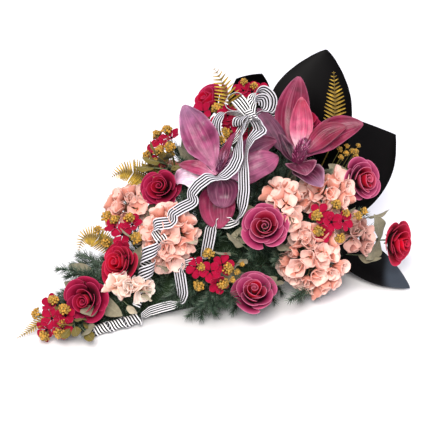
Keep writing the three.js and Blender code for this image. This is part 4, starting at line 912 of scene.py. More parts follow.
# The cone in a bloom: its radius is a power of the sine of its length, and stamens stand out of it a golden angle
# apart. Towards its tip they are shorter and lie further forward.
def makeStamenCone(number, bloom, place, chance):
    *tip, radius = bloom["cone"]
    longest, thick, light, dark = bloom["stamens"]
    light, dark = paint(light), paint(dark)
    tip = np.array([*tip, magnoliaStyle["coneDepth"]]) * mm @ viewRows
    foot = np.array(magnoliaStyle["coneFoot"]) * mm @ viewRows + place
    rings, count = magnoliaStyle["coneRings"], magnoliaStyle["stamens"]
    bulge = np.sin(math.pi * np.linspace(0.3, 0.97, rings)) ** 0.6
    heap = Heap()
    heap.addTube(straight(foot, foot + tip, rings), radius * mm * bulge, 14, dark)
    frames = framesAlong(tip)
    share = (np.arange(count) + 0.5) / count
    outs = around(frames, np.arange(count) * goldenAngle)
    roots = foot + tip * mix(0.05, 0.85, share)[:, None] + outs * radius * 0.6 * mm
    ways = outs * mix(0.9, 0.3, share)[:, None] + frames[2] * mix(0.9, 1.5, share)[:, None]
    lengths = longest * mm * mix(1.0, 0.6, share) * chance.uniform(0.7, 1.15, count)
    tints = mix(dark, light, chance.uniform(0, 1, (count, 1)) ** 1.5)
    heap.addNeedles(roots, ways, lengths, thick * mm, tints, tints * 1.4)
    heap.build(f"stamenCone{number}", stamenPlastic)


# A magnolia's calyx and stem.
def makeMagnoliaStem(number, bloom):
    node = f"magnolia_stem_{number}"
    style = magnoliaStemStyle
    heap = Heap()
    addCalyx(heap, node, bloom, style, paint(style["green"]), paint(style["stem"]))
    heap.build(f"magnoliaStem{number}", stemPlastic, [node])


for number, bloom in enumerate(magnolias, 1):
    makeMagnolia(number, bloom)
    makeMagnoliaStem(number, bloom)
print("magnolias made")


# Hydrangeas

hydrangeas = [   # size: half extent along the head's own x, y and z, mm; florets; dye
    {"at": (-132, 58, 172), "azimuth": -80, "elevation": 35, "size": (34, 40, 34), "florets": 10, "dye": "peach"},
    {"at": (-108, -58, 166), "azimuth": -40, "elevation": 38, "size": (44, 58, 24), "florets": 15, "dye": "peach"},
    {"at": (-210, -84, 98), "azimuth": -40, "elevation": 45, "size": (38, 12, 18), "florets": 6, "dye": "cream"},
    {"at": (116, -116, 200), "azimuth": -30, "elevation": 40, "size": (24, 46, 30), "florets": 7, "dye": "peach"},
    {"at": (206, -122, 196), "azimuth": -25, "elevation": 40, "size": (46, 30, 30), "florets": 10, "dye": "peach"},
    {"at": (150, -176, 92), "azimuth": -25, "elevation": 22, "size": (54, 62, 38), "florets": 19, "dye": "peach"},
    {"at": (254, -168, 112), "azimuth": 5, "elevation": 25, "size": (26, 34, 30), "florets": 7, "dye": "rose"},
    {"at": (10, 150, 140), "azimuth": 175, "elevation": 35, "size": (46, 40, 36), "florets": 14, "dye": "peach"},
]
hydrangeaDyes = {   # the petal's throat, partly painted shade in the cup, its body and its rim
    "peach": ("#b8563c", "#f0ab99", "#fbd8cd"),
    "cream": ("#d98f6c", "#f6d5c6", "#fff0e8"),
    "rose": ("#7c3c36", "#c08a80", "#e4b9ae"),
}
floretStyle = {
    "thickness": 0.5, "depth": 14, "rows": 10, "columns": 9,     # mm: how far its foot is behind its middle
    # each ring of petals: how many, length and width in mm, opening and bend in degrees
    "rings": [(4, 34, 27, 66, -34), (2, 27, 22, 30, -34)],
    "sizes": (0.86, 1.12), "openness": (0.55, 1.05), "double": 0.8,     # less open ones have the second ring too
    "eye": 2.4, "eyeDepth": 6,     # mm
}
hydrangeaStyle = {
    "crowd": 1.5, "core": 0.34,     # florets for each one listed; a share of the least half extent
    "coreRise": 2, "stalk": 1.1, "stem": 1.7,     # mm
    "dome": 1.2, "depths": (0.84, 1.0),     # half extents: how far down florets stand, and how far out
    "forward": 0.2, "scatter": 0.22,     # how they turn to the head's own z, and away from their places, shares
    "coreDye": "#6f4434", "stalkDye": "#7c6a48", "stemDye": "#6d7550",
}


# Florets, each a cup of shell-shaped petals about an eye.
def addFlorets(heap, middles, ahead, dyes, chance):
    style = floretStyle
    throat, body, rim = dyes
    t = np.linspace(0, 1, style["rows"])[None, :, None, None]
    frames = framesAlong(ahead)
    for rows, middle in zip(frames, middles):
        size = chance.uniform(*style["sizes"])
        openness = chance.uniform(*style["openness"])
        foot = middle - rows[2] * style["depth"] * mm
        for many, length, width, opening, bend in style["rings"][:1 + (openness < style["double"])]:
            turns = chance.uniform(0, 90) + 360 / many * np.arange(many) + chance.uniform(-12, 12, many)
            petals = bentPetals(turns, length * chance.uniform(0.85, 1.1, many) * mm, width * mm,
                                opening * openness + chance.uniform(-12, 12, many),
                                bend + chance.uniform(-10, 10, many), cup=0.5, outline=shellOutline,
                                rows=style["rows"], columns=style["columns"])
            # A petal darkens towards the throat's dye deep in the cup: partly the cloth's dye, partly painted shade.
            front = mix(mix(throat, body, 0.75 * ease(t, 0.1, 0.75)), rim, 0.8 * ease(t, 0.9, 1))
            front = front * chance.uniform(0.86, 1.04, (many, 1, 1, 1))
            back = mix(body, rim, ease(t, 0.0, 0.6)) * chance.uniform(0.92, 1.06, (many, 1, 1, 1))
            heap.addSheets(petals @ rows * size + foot, front, style["thickness"] * mm, back)
    count = len(middles)
    heap.addBalls(middles - frames[:, 2] * style["eyeDepth"] * mm, np.full(count, style["eye"] * mm),
                  np.tile(throat * 0.8, (count, 1)))


# A head: florets stand on a dome with its own half extents, a golden angle apart, on stalks from a small core.
def makeHydrangea(number, head):
    chance = np.random.default_rng(700 + number)
    style = hydrangeaStyle
    place, rows = standing(head)
    count = int(head["florets"] * style["crowd"])
    i = np.arange(count)
    up = 1 - style["dome"] * (i + 0.3) / count
    ways = polar(np.sqrt(1 - up ** 2), i * goldenAngle, up)
    middles = (ways * np.array(head["size"]) * mm * chance.uniform(*style["depths"], (count, 1))) @ rows + place
    ahead = (ways + np.array([0, 0, style["forward"]]) + chance.normal(0, style["scatter"], (count, 3))) @ rows
    dyes = [paint(text) for text in hydrangeaDyes[head["dye"]]]
    heap = Heap()
    core = np.array([place + rows[2] * style["coreRise"] * mm])
    coreRadius = style["core"] * min(head["size"]) * mm
    heap.addBalls(core, np.array([coreRadius]), np.array([paint(style["coreDye"])]), rings=7, corners=10)
    heap.addStalks(np.tile(place, (count, 1)), middles, style["stalk"] * mm, paint(style["stalkDye"]))
    addFlorets(heap, middles, ahead, dyes, chance)
    node = f"hydrangea_{number}"
    addStem(heap, node, place, style["stem"], paint(style["stemDye"]))
    heap.build(f"hydrangea{number}", paleCloth, [node])


for number, head in enumerate(hydrangeas, 1):
    makeHydrangea(number, head)


# Stalks of single flowers from further in, each from a length behind its flower and a drop below that. Where the
# flowers are and which ways they face are returned.
def addSingleStalks(heap, table, length, radius, tints, drop=30):
    table = np.array(table, float)
    middles = table[:, :3] * mm
    ahead = np.stack([facing(*angles)[2] for angles in table[:, 3:]])
    heap.addStalks(middles - ahead * length * mm - np.array([0, 0, drop * mm]), middles, radius * mm, tints)
    return middles, ahead


looseFlorets = [   # mm and degrees: where each is, and its azimuth and elevation
    (120, -148, 176, -50, 30), (128, -158, 158, -20, 20), (138, -166, 146, -60, 40), (150, -164, 138, 10, 30),
    (168, -160, 132, -20, 45), (246, -118, 222, 40, 45),
]


# Single hydrangea florets on stalks of their own.
def makeLooseFlorets():
    chance = np.random.default_rng(790)
    heap = Heap()
    stalkTint = paint(hydrangeaStyle["stalkDye"])
    middles, ahead = addSingleStalks(heap, looseFlorets, 60, hydrangeaStyle["stalk"], stalkTint)
    addFlorets(heap, middles, ahead, [paint(text) for text in hydrangeaDyes["peach"]], chance)
    heap.build("looseFlorets", paleCloth)


makeLooseFlorets()
print("hydrangeas made")


# Red sprays with golden seed heads

sprays = [
    {"at": (-350, -36, 44), "azimuth": -60, "elevation": 35, "turn": 200, "florets": 5, "seeds": 5},
    {"at": (-184, -14, 168), "azimuth": -62, "elevation": 45, "turn": 20, "florets": 4, "seeds": 4},
    {"at": (-30, 112, 258), "azimuth": -95, "elevation": 45, "turn": 40, "florets": 5, "seeds": 4},
    {"at": (-62, -140, 116), "azimuth": -32, "elevation": 30, "turn": 250, "florets": 4, "seeds": 4},
    {"at": (186, -182, 172), "azimuth": -10, "elevation": 35, "turn": 80, "florets": 4, "seeds": 4},
    {"at": (88, 52, 312), "azimuth": -50, "elevation": 65, "turn": 300, "florets": 4, "seeds": 3},
    {"at": (176, 84, 318), "azimuth": 150, "elevation": 70, "turn": 0, "florets": 4, "seeds": 3},
]
sprayStyle = {
    "petal": "#a80f38", "rim": "#e0607f", "throat": "#1c0313", "gold": "#ca9430", "olive": "#80692a",
    "branch": "#5c6434", "twig": "#6e6a36",
    "petals": 5, "petalLength": 24, "petalWidth": 16.5, "thickness": 0.5, "rows": 9, "columns": 8,     # mm
    "eye": 2.9, "eyeRise": 2,     # mm
    "fork": 34, "spread": 26, "droop": 7, "seedSpread": 34, "stalk": 1, "stem": 1.7, "seedStalk": 0.8,     # mm
    "bunch": 11, "seeds": 26, "looseSeeds": 22,     # a bunch's radius, mm, and how many seeds it has
    "seedSizes": (0.2, 0.3), "seedTwig": 0.4,     # shares of the bunch's radius; mm
    "inward": 0.55, "toViewer": 0.4,     # shares: where a bunch's own stem begins, and how far it turns to the front
    "turn": 2.4,     # radians from one floret or bunch to the next
}


# A bunch of seeds: balls scattered by the golden angle over a small dome.
def seedBunch(heap, middle, way, radius, count, chance):
    i = np.arange(count)
    flat = np.sqrt((i + 0.5) / count)
    local = polar(flat, i * goldenAngle, 0.9 - flat ** 2)
    middles = middle + (local * radius * chance.uniform(0.8, 1.1, (count, 1))) @ framesAlong(way)
    tints = mix(paint(sprayStyle["gold"]), paint(sprayStyle["olive"]), chance.uniform(0, 1, (count, 1)))
    heap.addBalls(middles, radius * chance.uniform(*sprayStyle["seedSizes"], count), tints, rings=4, corners=6)
    heap.addStalks(np.tile(middle - way * radius, (count, 1)), middles, sprayStyle["seedTwig"] * mm,
                   paint(sprayStyle["twig"]), 3)


# Florets of five petals, dark in the throat, with a small eye each.
def addRedFlorets(heap, middles, ways, chance):
    style = sprayStyle
    many = style["petals"]
    frames = framesAlong(ways)
    t = np.linspace(0, 1, style["rows"])[None, :, None, None]
    petal, rim, throat = (paint(style[key]) for key in ("petal", "rim", "throat"))
    front = mix(mix(throat, petal, ease(t, 0.3, 0.72)), rim, 0.8 * ease(t, 0.6, 1))
    for rows, middle in zip(frames, middles):
        petals = bentPetals(chance.uniform(0, 72) + 360 / many * np.arange(many),
                            style["petalLength"] * mm, style["petalWidth"] * mm,
                            opening=chance.uniform(60, 76), bend=chance.uniform(-30, 12), cup=0.28,
                            outline=shellOutline, rows=style["rows"], columns=style["columns"],
                            wave=0.16, phase=chance.uniform(0, 1, many), corner=0.02)
        tints = front * chance.uniform(0.88, 1.1, (many, 1, 1, 1))
        heap.addSheets(petals @ rows + middle, tints, style["thickness"] * mm, petal * 0.9)
    count = len(middles)
    heap.addBalls(middles + frames[:, 2] * style["eyeRise"] * mm, np.full(count, style["eye"] * mm),
                  np.tile(throat * 0.7, (count, 1)))


# A spray: from a fork, stalks run to a floret in the middle and to others round it, and to bunches of seeds.
def makeSpray(number, bunch):
    chance = np.random.default_rng(900 + number)
    style = sprayStyle
    place, rows = standing(bunch)
    fork = place - rows[2] * style["fork"] * mm
    first, branch = math.radians(bunch["turn"]), paint(style["branch"])
    count = bunch["florets"]
    turns = first + style["turn"] * np.arange(count)
    outer = np.where(np.arange(count) == 0, 0, 1)
    middles = polar(style["spread"] * outer, turns, -style["droop"] * outer) * mm @ rows + place
    red = Heap()
    addRedFlorets(red, middles, unit(mix(unit(middles - fork), rows[2], 0.4)), chance)
    red.addStalks(np.tile(fork, (count, 1)), middles, style["stalk"] * mm, branch)
    node = f"spray_{number}"
    addStem(red, node, fork, style["stem"], branch)
    red.build(f"redSpray{number}", crimsonCloth, [node])
    gold = Heap()
    turns = first + 1.2 + style["turn"] * np.arange(bunch["seeds"])
    ends = polar(style["seedSpread"], turns, 2 + 6 * chance.uniform(0, 1, len(turns))) * mm @ rows + place
    for end in ends:
        gold.addTube(straight(fork, end, 5), style["seedStalk"] * mm, 4, paint(style["twig"]))
        seedBunch(gold, end, unit(end - fork), style["bunch"] * mm, style["seeds"], chance)
    gold.build(f"seedHeads{number}", goldPlastic)


for number, bunch in enumerate(sprays, 1):
    makeSpray(number, bunch)


looseRedFlorets = [   # mm and degrees: where each is and which way it faces
    (93, 58, 322, -60, 40), (109, 37, 310, -20, 30), (107, 22, 295, 0, 20), (88, 38, 299, -50, 20),
    (158, 74, 350, -20, 60), (146, 86, 350, -70, 55), (174, 69, 346, 10, 50), (62, 104, 316, -60, 40),
]


# Single red florets on stalks of their own.
def makeLooseRedFlorets():
    chance = np.random.default_rng(990)
    heap = Heap()
    stalkTint = paint(sprayStyle["branch"])
    middles, ahead = addSingleStalks(heap, looseRedFlorets, 50, sprayStyle["stalk"], stalkTint)
    addRedFlorets(heap, middles, ahead, chance)
    heap.build("looseRedFlorets", crimsonCloth)


makeLooseRedFlorets()


goldBunches = [   # where each is, and its radius, mm
    (-187, 47, 176, 12), (-219, 22, 170, 9), (218, -185, 184, 8), (243, -191, 173, 9), (260, -187, 177, 8),
    (270, -82, 262, 6), (280, -90, 254, 6), (292, -93, 258, 6), (303, -92, 252, 6), (311, -87, 262, 5),
    (286, -84, 266, 5), (298, -100, 246, 6), (266, -92, 250, 6), (163, 74, 362, 8), (-22, -173, 121, 6),
    (-34, -176, 108, 6), (-8, -168, 131, 5), (-79, -135, 129, 8), (56, 19, 294, 9), (-39, 102, 258, 10),
    (-25, 86, 251, 10), (-57, 89, 242, 9), (-340, -58, 44, 8), (60, 168, 200, 10), (170, 150, 190, 10),
    (-70, 128, 150, 9), (147, 88, 369, 8), (65, 101, 303, 10), (-26, 83, 273, 10), (-52, 85, 266, 10),
]


innerLine = {"share": 0.86, "height": 44}     # a share of X; mm


# The point deep in the foam that seed bunches and twigs at a place along X come from.
def innerPoint(x):
    return np.array([innerLine["share"] * x, 0, innerLine["height"]])


# Bunches of seeds on straight stems, which come from a little over half way to the core.
def makeGoldBunches():
    chance = np.random.default_rng(1000)
    style = sprayStyle
    heap = Heap()
    for *middle, radius in goldBunches:
        middle = np.array(middle, float)
        inner = mix(middle, innerPoint(middle[0]), style["inward"])
        heap.addTube(straight(inner, middle, 5) * mm, style["seedStalk"] * mm, 4, paint(style["twig"]))
        way = unit(unit(middle - inner) + viewRows[2] * style["toViewer"])
        seedBunch(heap, middle * mm, way, radius * mm, style["looseSeeds"], chance)
    heap.build("goldBunches", goldPlastic)


makeGoldBunches()
print("sprays made")


# Golden ferns

ferns = [
    {"node": "fern_tip", "route": [(-300, -20, 36), (-350, -12, 30), (-392, -16, 16), (-418, -18, 10)],
     "width": 15, "pairs": 24, "up": (0, 0, 1)},
    {"node": "fern_left", "route": [(-196, 22, 120), (-226, 20, 158), (-256, 8, 172), (-276, -10, 160)],
     "width": 19, "pairs": 22, "up": (-0.3, -0.8, 0.6)},
    {"node": "fern_brush", "route": [(-60, 70, 190), (-96, 84, 226), (-128, 90, 240), (-152, 92, 234)],
     "width": 26, "pairs": 25, "up": (-0.3, -0.7, 0.6)},
    {"node": "fern_top", "route": [(112, 66, 250), (112, 84, 330), (106, 104, 372), (98, 124, 398)],
     "width": 27, "pairs": 20, "up": (-0.5, -0.7, 0.4)},
    {"node": "fern_black", "route": [(304, -4, 220), (318, 8, 300), (324, 22, 340), (328, 34, 372)],
     "width": 20, "pairs": 20, "up": (-0.5, -0.8, 0.3)},
]
fernStyle = {
    # deep is the gold in painted shade: on the rib and stem, and towards the leaflets' feet
    "light": "#c8a436", "deep": "#7a6220", "rib": (1.1, 0.4), "stem": 1.3,     # mm
    "thickness": 0.4, "rows": 17, "teeth": 8, "widest": 3.4, "least": 1.5,     # mm; teeth along a leaflet
    "slim": 0.2, "cut": 0.38, "fold": 0.5,     # a leaflet's half width in its length; of that, its teeth and fold
    "slant": 0.5, "arch": (0.14, 0.1),     # how far leaflets lean ahead, and rise with t and with t squared
}


# A frond: on either side of an arched rib stand narrow leaflets, longest below the middle. A leaflet's half width
# is a tapering blade whose edge is cut into teeth by a saw wave along it.
def makeFern(fern):
    chance = np.random.default_rng(1100 + len(fern["node"]))
    style = fernStyle
    pairs = fern["pairs"]
    path = curveThrough(fern["route"], 2 * pairs + 1) * mm
    ahead = aheadOf(path)
    side = unit(np.cross(ahead, np.array(fern["up"])))
    up = np.cross(side, ahead)
    light, deep = paint(style["light"]), paint(style["deep"])
    heap = Heap()
    heap.addTube(path, np.linspace(*style["rib"], len(path)) * mm, 6, deep)
    share = (np.arange(2 * pairs) // 2 + 0.5) / pairs
    foot = np.minimum((share * (len(path) - 1)).astype(int), len(path) - 1)
    hand = np.where(np.arange(2 * pairs) % 2, 1.0, -1.0)[:, None]
    length = (fern["width"] * np.sin(math.pi * mix(0.12, 1, share) ** 0.7) ** 0.8 + style["least"]) * mm
    length = (length * 1.12 * chance.uniform(0.92, 1.05, 2 * pairs))[:, None]
    away = hand * side[foot] + style["slant"] * ahead[foot]
    t = np.linspace(0, 1, style["rows"])[None, :, None, None]
    s = np.array([-1.0, 0.0, 1.0])[None, None, :, None]
    teeth = 1 - style["cut"] + style["cut"] * np.abs(2 * ((t * style["teeth"]) % 1) - 1)
    half = np.minimum(style["slim"] * length, style["widest"] * mm)[:, None, None] * (1 - t) ** 0.5 * teeth
    across, rise, away = (each[:, None, None] for each in (ahead[foot], up[foot], away))
    length = length[:, None, None]
    lift = style["arch"][0] * t + style["arch"][1] * t ** 2
    middle = path[foot][:, None, None] + away * length * t + rise * length * lift
    leaflets = middle + across * s * half + rise * (style["fold"] * np.abs(s) * half)
    # Painted shade: leaflets darken to the deep gold at their feet by the rib, some more than others.
    tints = mix(deep, light, chance.uniform(0.3, 1, (2 * pairs, 1, 1, 1)) * ease(t, 0, 0.5))
    right = hand[:, 0] > 0
    heap.addSheets(leaflets[right], tints[right], style["thickness"] * mm)
    heap.addSheets(leaflets[~right][:, :, ::-1], tints[~right], style["thickness"] * mm)
    addStem(heap, fern["node"], mix(path[0], path[2], 0.3), style["stem"], deep, corners=6)
    heap.build(pieceName("goldenFern", fern["node"]), goldPlastic, [fern["node"]])


for fern in ferns:
    makeFern(fern)
print("ferns made")


# Fir

firs = [
    {"from": (-226, 20, 68), "azimuth": 286, "length": 80, "tipHeight": 104},
    {"from": (-50, -98, 30), "azimuth": -36, "length": 66, "tipHeight": 22},
    {"from": (44, -110, 30), "azimuth": -52, "length": 88, "tipHeight": 22},
    {"from": (156, -108, 30), "azimuth": -6, "length": 94, "tipHeight": 22},
    {"from": (-150, 84, 32), "azimuth": 236, "length": 96, "tipHeight": 24},
    {"from": (20, 106, 34), "azimuth": 200, "length": 112, "tipHeight": 26},
    {"from": (206, 104, 34), "azimuth": 160, "length": 104, "tipHeight": 26},
]
firStyle = {
    "needle": 25, "radius": 0.75, "perMillimetre": 1.7,     # mm
    "lowest": 3, "clearance": 0.8, "leastRoom": 0.4,     # mm above the floor, for twigs and for needles
    "forward": (0.7, 1.5), "lengths": (0.75, 1.1), "last": 0.6,     # at foot and tip; shares of a whole needle
    "arch": 0.06, "rootShares": (0.9, 0.4, 1), "rootRise": 6,     # a share of its length; of its start; mm
    "twigRadius": (1.6, 0.7), "stalk": 1.4,     # mm
    "sideTwigs": ((0.3, 42), (0.48, -38)), "sideLength": 0.62,     # shares of the main twig, and turns in degrees
    "density": 1.3, "sideDensity": 1.4, "sprigDensity": 1.2,     # of needles, beside those for each millimetre
    # the darkest needles stand in for the shade between them; the pale tip colour is partly the needles' own and
    # partly a painted highlight
    "dark": "#0f1e14", "green": "#2c4b38", "fresh": "#9ab096", "twig": "#2c2619",
}


# A twig: needles a golden angle apart along a thin core, each laid forward at about 50 degrees, shorter at its tip.
# None reaches below the floor: one that would is tipped up until its own length fits the room under its root.
def addTwig(heap, path, chance, density):
    style = firStyle
    path = np.maximum(path, [-np.inf, -np.inf, style["lowest"] * mm])
    count = int(style["perMillimetre"] * density * lengthOf(path) / mm)
    share = np.sort(chance.uniform(0.04, 1, count))
    place = share * (len(path) - 1)
    i = np.minimum(place.astype(int), len(path) - 2)
    roots = mix(path[i], path[i + 1], (place - i)[:, None])
    ahead = unit(path[i + 1] - path[i])
    turn = np.arange(count) * goldenAngle + chance.normal(0, 0.4, count)
    ways = around(framesAlong(ahead), turn) + ahead * mix(*style["forward"], share ** 3)[:, None]
    ways = unit(ways + chance.normal(0, 0.12, (count, 3)))
    lengths = style["needle"] * mm * chance.uniform(*style["lengths"], count) * mix(1, style["last"], share ** 4)
    room = np.maximum(roots[:, 2] - style["clearance"] * mm, style["leastRoom"] * mm)
    ways[:, 2] = np.maximum(ways[:, 2], -0.95 * room / lengths)
    level = np.linalg.norm(ways[:, :2], axis=1)
    ways[:, :2] *= (np.sqrt(1 - ways[:, 2] ** 2) / np.maximum(level, 1e-3))[:, None]
    # Painted shade and highlight: the darkest needles stand in for the shade between them, and tips pale towards a
    # grey-green that is partly the needles' own paler tips and partly a painted highlight.
    dark, green, fresh = (paint(style[key]) for key in ("dark", "green", "fresh"))
    tints = mix(dark, green, chance.uniform(0, 1, (count, 1)))
    tips = mix(tints, fresh, chance.uniform(0, 1, (count, 1)) ** 2)
    heap.addNeedles(roots, ways, lengths, style["radius"] * mm, tints, tips)
    heap.addTube(path, np.linspace(*style["twigRadius"], len(path)) * mm, 5, paint(style["twig"]))


# A branch as it grows out of the foam: a main twig, and side twigs to its right and left.
def makeFir(number, fir):
    chance = np.random.default_rng(1300 + number)
    style = firStyle
    start = np.array(fir["from"], float)

    # A twig goes out level along its azimuth and arches to its tip's height.
    def route(begin, azimuth, length):
        out = polar(1, math.radians(azimuth) - math.pi / 2, 0)
        middle, end = (begin + out * length * part for part in (0.5, 1))
        middle[2] = mix(begin[2], fir["tipHeight"], 0.5) + style["arch"] * length
        end[2] = fir["tipHeight"]
        return curveThrough([begin, middle, end], 12)

    heap = Heap()
    main = route(start, fir["azimuth"], fir["length"])
    addTwig(heap, main * mm, chance, style["density"])
    for share, turn in style["sideTwigs"]:
        begin = main[int(share * (len(main) - 1))]
        side = route(begin, fir["azimuth"] + turn, fir["length"] * style["sideLength"])
        addTwig(heap, side * mm, chance, style["sideDensity"])
    inward = start * style["rootShares"] + [0, 0, style["rootRise"]]
    heap.addTube(straight(start, inward, 4) * mm, style["stalk"] * mm, 6, paint(style["twig"]))
    heap.build(f"firBranch{number}", needleFilm, [f"fir_{number}"])


for number, fir in enumerate(firs, 1):
    makeFir(number, fir)


# The rest of the fir fills the bouquet under the flowers. Its shape: place along X, how far it reaches to the
# front and to the back, and how high it stands, mm.
greenery = {
    "x": [-330, -300, -230, -116, -66, 19, 120, 194, 250, 290],
    "front": [40, 66, 76, 90, 104, 150, 174, 186, 160, 110],
    "back": [24, 40, 62, 100, 118, 134, 144, 144, 126, 92],
    "top": [40, 58, 100, 160, 196, 234, 264, 272, 248, 180],
}
firSprigs = [   # mm and degrees: a twig's tip, its azimuth, elevation and length
    (-56, -24, 222, -40, 30, 60), (-49, 16, 235, -60, 40, 60), (-77, 74, 228, -70, 40, 60),
    (-40, 75, 235, -70, 50, 60), (21, 25, 256, -30, 60, 60), (-131, 67, 183, -70, 30, 60),
    (87, 48, 295, -30, 60, 70), (112, 44, 308, -20, 55, 70), (125, 18, 307, -20, 45, 70),
    (88, -9, 292, -20, 45, 70), (141, 7, 299, 0, 45, 70), (123, 78, 326, -40, 70, 70),
    (63, 58, 279, -50, 55, 70), (165, 23, 313, 10, 60, 70), (183, -103, 205, -20, 40, 60),
    (-49, -39, 207, -30, 30, 60), (150, 90, 300, 120, 60, 80), (60, 100, 270, 200, 50, 80),
    (210, 60, 270, 120, 50, 80), (-14, 55, 251, -40, 40, 60), (-13, 82, 261, -60, 50, 70),
    (-15, 29, 233, -40, 40, 55), (-43, 45, 219, -60, 35, 60), (-19, 104, 270, -80, 50, 70),
    (281, -166, 152, 20, 30, 70), (254, -187, 130, 10, 20, 60), (289, -179, 124, 40, 20, 60),
    (75, 118, 316, 180, 60, 80), (163, 42, 318, 0, 60, 70), (116, 11, 313, -30, 60, 60),
    (138, 24, 310, -10, 60, 60),
    # before the foam, low at the front
    (-117, -98, 78, -60, 5, 80), (-92, -122, 67, -30, -5, 70), (-78, -159, 66, -45, 12, 90),
    (-125, -125, 50, -70, 5, 80), (-49, -162, 81, -20, -5, 70), (-68, -134, 89, -50, 12, 90),
    (-34, -190, 69, 0, 5, 80), (-143, -102, 54, -80, -5, 70), (-81, -180, 57, -35, 12, 90),
    (25, -144, 127, -60, 5, 80), (56, -137, 143, -30, -5, 70), (63, -174, 115, -45, 12, 90),
    (68, -223, 53, -70, 5, 80), (36, -194, 75, -20, -5, 70), (-122, -80, 99, -50, 12, 90),
    (-53, -192, 63, 0, 5, 80), (-93, -155, 55, -80, -5, 70), (-65, -164, 74, -35, 12, 90),
    # over the foam's head end
    (318, -70, 30, 70, 5, 90), (326, -32, 24, 85, 5, 90), (330, 10, 30, 95, 5, 90), (322, 50, 26, 110, 5, 90),
    (300, 88, 24, 130, 5, 90), (312, -58, 62, 70, 20, 90), (316, -14, 72, 85, 20, 90),
    (318, 26, 64, 100, 20, 90), (304, 66, 60, 115, 20, 90), (286, 100, 54, 140, 10, 90),
    (298, -46, 100, 60, 40, 80), (300, 4, 108, 90, 40, 80), (292, 46, 100, 120, 40, 80),
    (268, 84, 90, 140, 30, 80), (276, 20, 134, 110, 60, 80), (250, 110, 40, 150, 8, 80),
]
bedStyle = {
    "along": 30, "from": -312, "to": 276,     # places along X, mm
    "around": 13, "first": 4, "last": 176,     # twigs on each half ring, degrees
    "length": 76, "lowest": 9, "bulge": 5, "density": 0.8,     # mm
    "turn": 7, "shift": 14, "back": 12,     # how far at most from its place, degrees and mm; its tip's lean, mm
    "reaches": (0.8, 0.98), "lengths": (0.8, 1.2), "longest": 0.75,     # shares; of the way to the foam's middle
}


# Twigs on a half ring round the foam at each place along it. Each ends on the greenery's shape, which is an ellipse
# with its own half widths and height there, and starts a twig's length further in.
def makeFirBed():
    chance = np.random.default_rng(1500)
    style = bedStyle
    heap = Heap()
    for x in np.linspace(style["from"], style["to"], style["along"]):
        front, back, top = (np.interp(x, greenery["x"], greenery[key]) for key in ("front", "back", "top"))
        angles = np.linspace(style["first"], style["last"], style["around"])
        for angle in angles + chance.uniform(-style["turn"], style["turn"], style["around"]):
            a = math.radians(np.clip(angle, 2, 178))
            wide = front if a < math.pi / 2 else back
            reach = chance.uniform(*style["reaches"])
            xs = x + chance.uniform(-style["shift"], style["shift"])
            height = max(top * math.sin(a) * reach, style["lowest"])
            tip = np.array([xs - style["back"], -wide * math.cos(a) * reach, height])
            inward = innerPoint(xs) - tip
            longest = style["longest"] * np.linalg.norm(inward)
            length = min(style["length"] * chance.uniform(*style["lengths"]), longest)
            start = tip + unit(inward) * length
            middle = (start + tip) / 2 + np.array([0, 0, style["bulge"]])
            addTwig(heap, curveThrough([start, middle, tip], 8) * mm, chance, style["density"])
    heap.build("firBed", needleFilm)


makeFirBed()


# Straight sprigs that close the gaps between the flowers.
def makeFirSprigs():
    chance = np.random.default_rng(1500)
    heap = Heap()
    for *tip, azimuth, elevation, length in firSprigs:
        start = np.array(tip) - facing(azimuth, elevation)[2] * length
        addTwig(heap, straight(start, tip, 6) * mm, chance, firStyle["sprigDensity"])
    heap.build("firSprigs", needleFilm)


makeFirSprigs()
print("fir made")


# Leaves that stand between the flowers

looseLeaves = {"dusty": [   # where a leaf starts, mm; its azimuth and rise, degrees; its length, mm
    (-268, -66, 60, -70, 20, 46), (-286, -72, 34, -50, 4, 44), (-150, -30, 150, -95, 50, 62),
    (-128, -92, 120, -60, 40, 44), (-6, -118, 128, -75, 35, 58), (12, -128, 112, -40, 25, 52),
    (-10, -140, 88, -85, 15, 50), (20, -126, 140, -110, 50, 46), (60, -150, 60, 20, 20, 46),
    (96, -140, 130, -10, 20, 52), (150, -60, 210, 20, 50, 44), (214, -100, 236, 10, 40, 40),
    (300, -150, 130, 60, 30, 46), (262, -176, 66, 40, 10, 48), (232, -136, 150, 70, 25, 40),
    (-60, 60, 190, -120, 45, 52), (20, 60, 230, -110, 55, 56), (60, 150, 170, 150, 40, 60),
    (150, 150, 150, 160, 35, 60), (200, 130, 120, 130, 25, 58), (-60, 120, 100, 200, 30, 60),
    (-140, 90, 70, 215, 20, 56), (-220, 60, 50, 230, 12, 50), (110, 172, 90, 190, 15, 56),
    (230, 60, 190, 100, 45, 54), (40, 110, 220, 190, 60, 50), (-20, 160, 60, 190, 10, 56),
], "olive": [
    (-46, 69, 230, -110, 40, 44), (-37, 73, 235, -60, 55, 46), (-57, 69, 229, -140, 20, 42),
    (-36, 57, 229, -20, 50, 38), (-53, 84, 234, -90, 70, 42), (-39, 85, 239, -30, 70, 38),
    (-317, -52, 34, -60, 30, 38), (-303, -51, 42, -10, 30, 40), (-319, -42, 47, -100, 45, 34),
    (-296, -61, 31, 10, 10, 34), (120, 90, 300, 200, 50, 44), (190, 60, 300, 150, 60, 44),
    (-321, -74, 38, -20, 10, 34), (-306, -86, 30, 0, 5, 34), (-330, -70, 34, -50, 5, 32),
    (-59, 64, 255, -100, 30, 40), (-41, 63, 259, -30, 50, 38), (-74, 60, 248, -120, 10, 40),
    (-40, 49, 248, 0, 30, 38), (-58, 49, 244, -60, 10, 40), (-54, 81, 263, -90, 70, 38),
], "pale": [
    (-223, -108, 74, 0, 10, 36), (-196, -104, 96, 20, 30, 36), (-180, -104, 84, -20, 20, 38),
    (-69, -98, 166, -60, 30, 40),
]}


looseLeafStyle = {
    "lift": 0.1, "widths": (0.24, 0.31), "tilt": 0.35,     # shares of its length; radians, the usual tilt
    "behind": 26, "past": 3, "stalk": 0.9,     # mm: where its stalk begins and ends beside its start, and radius
}


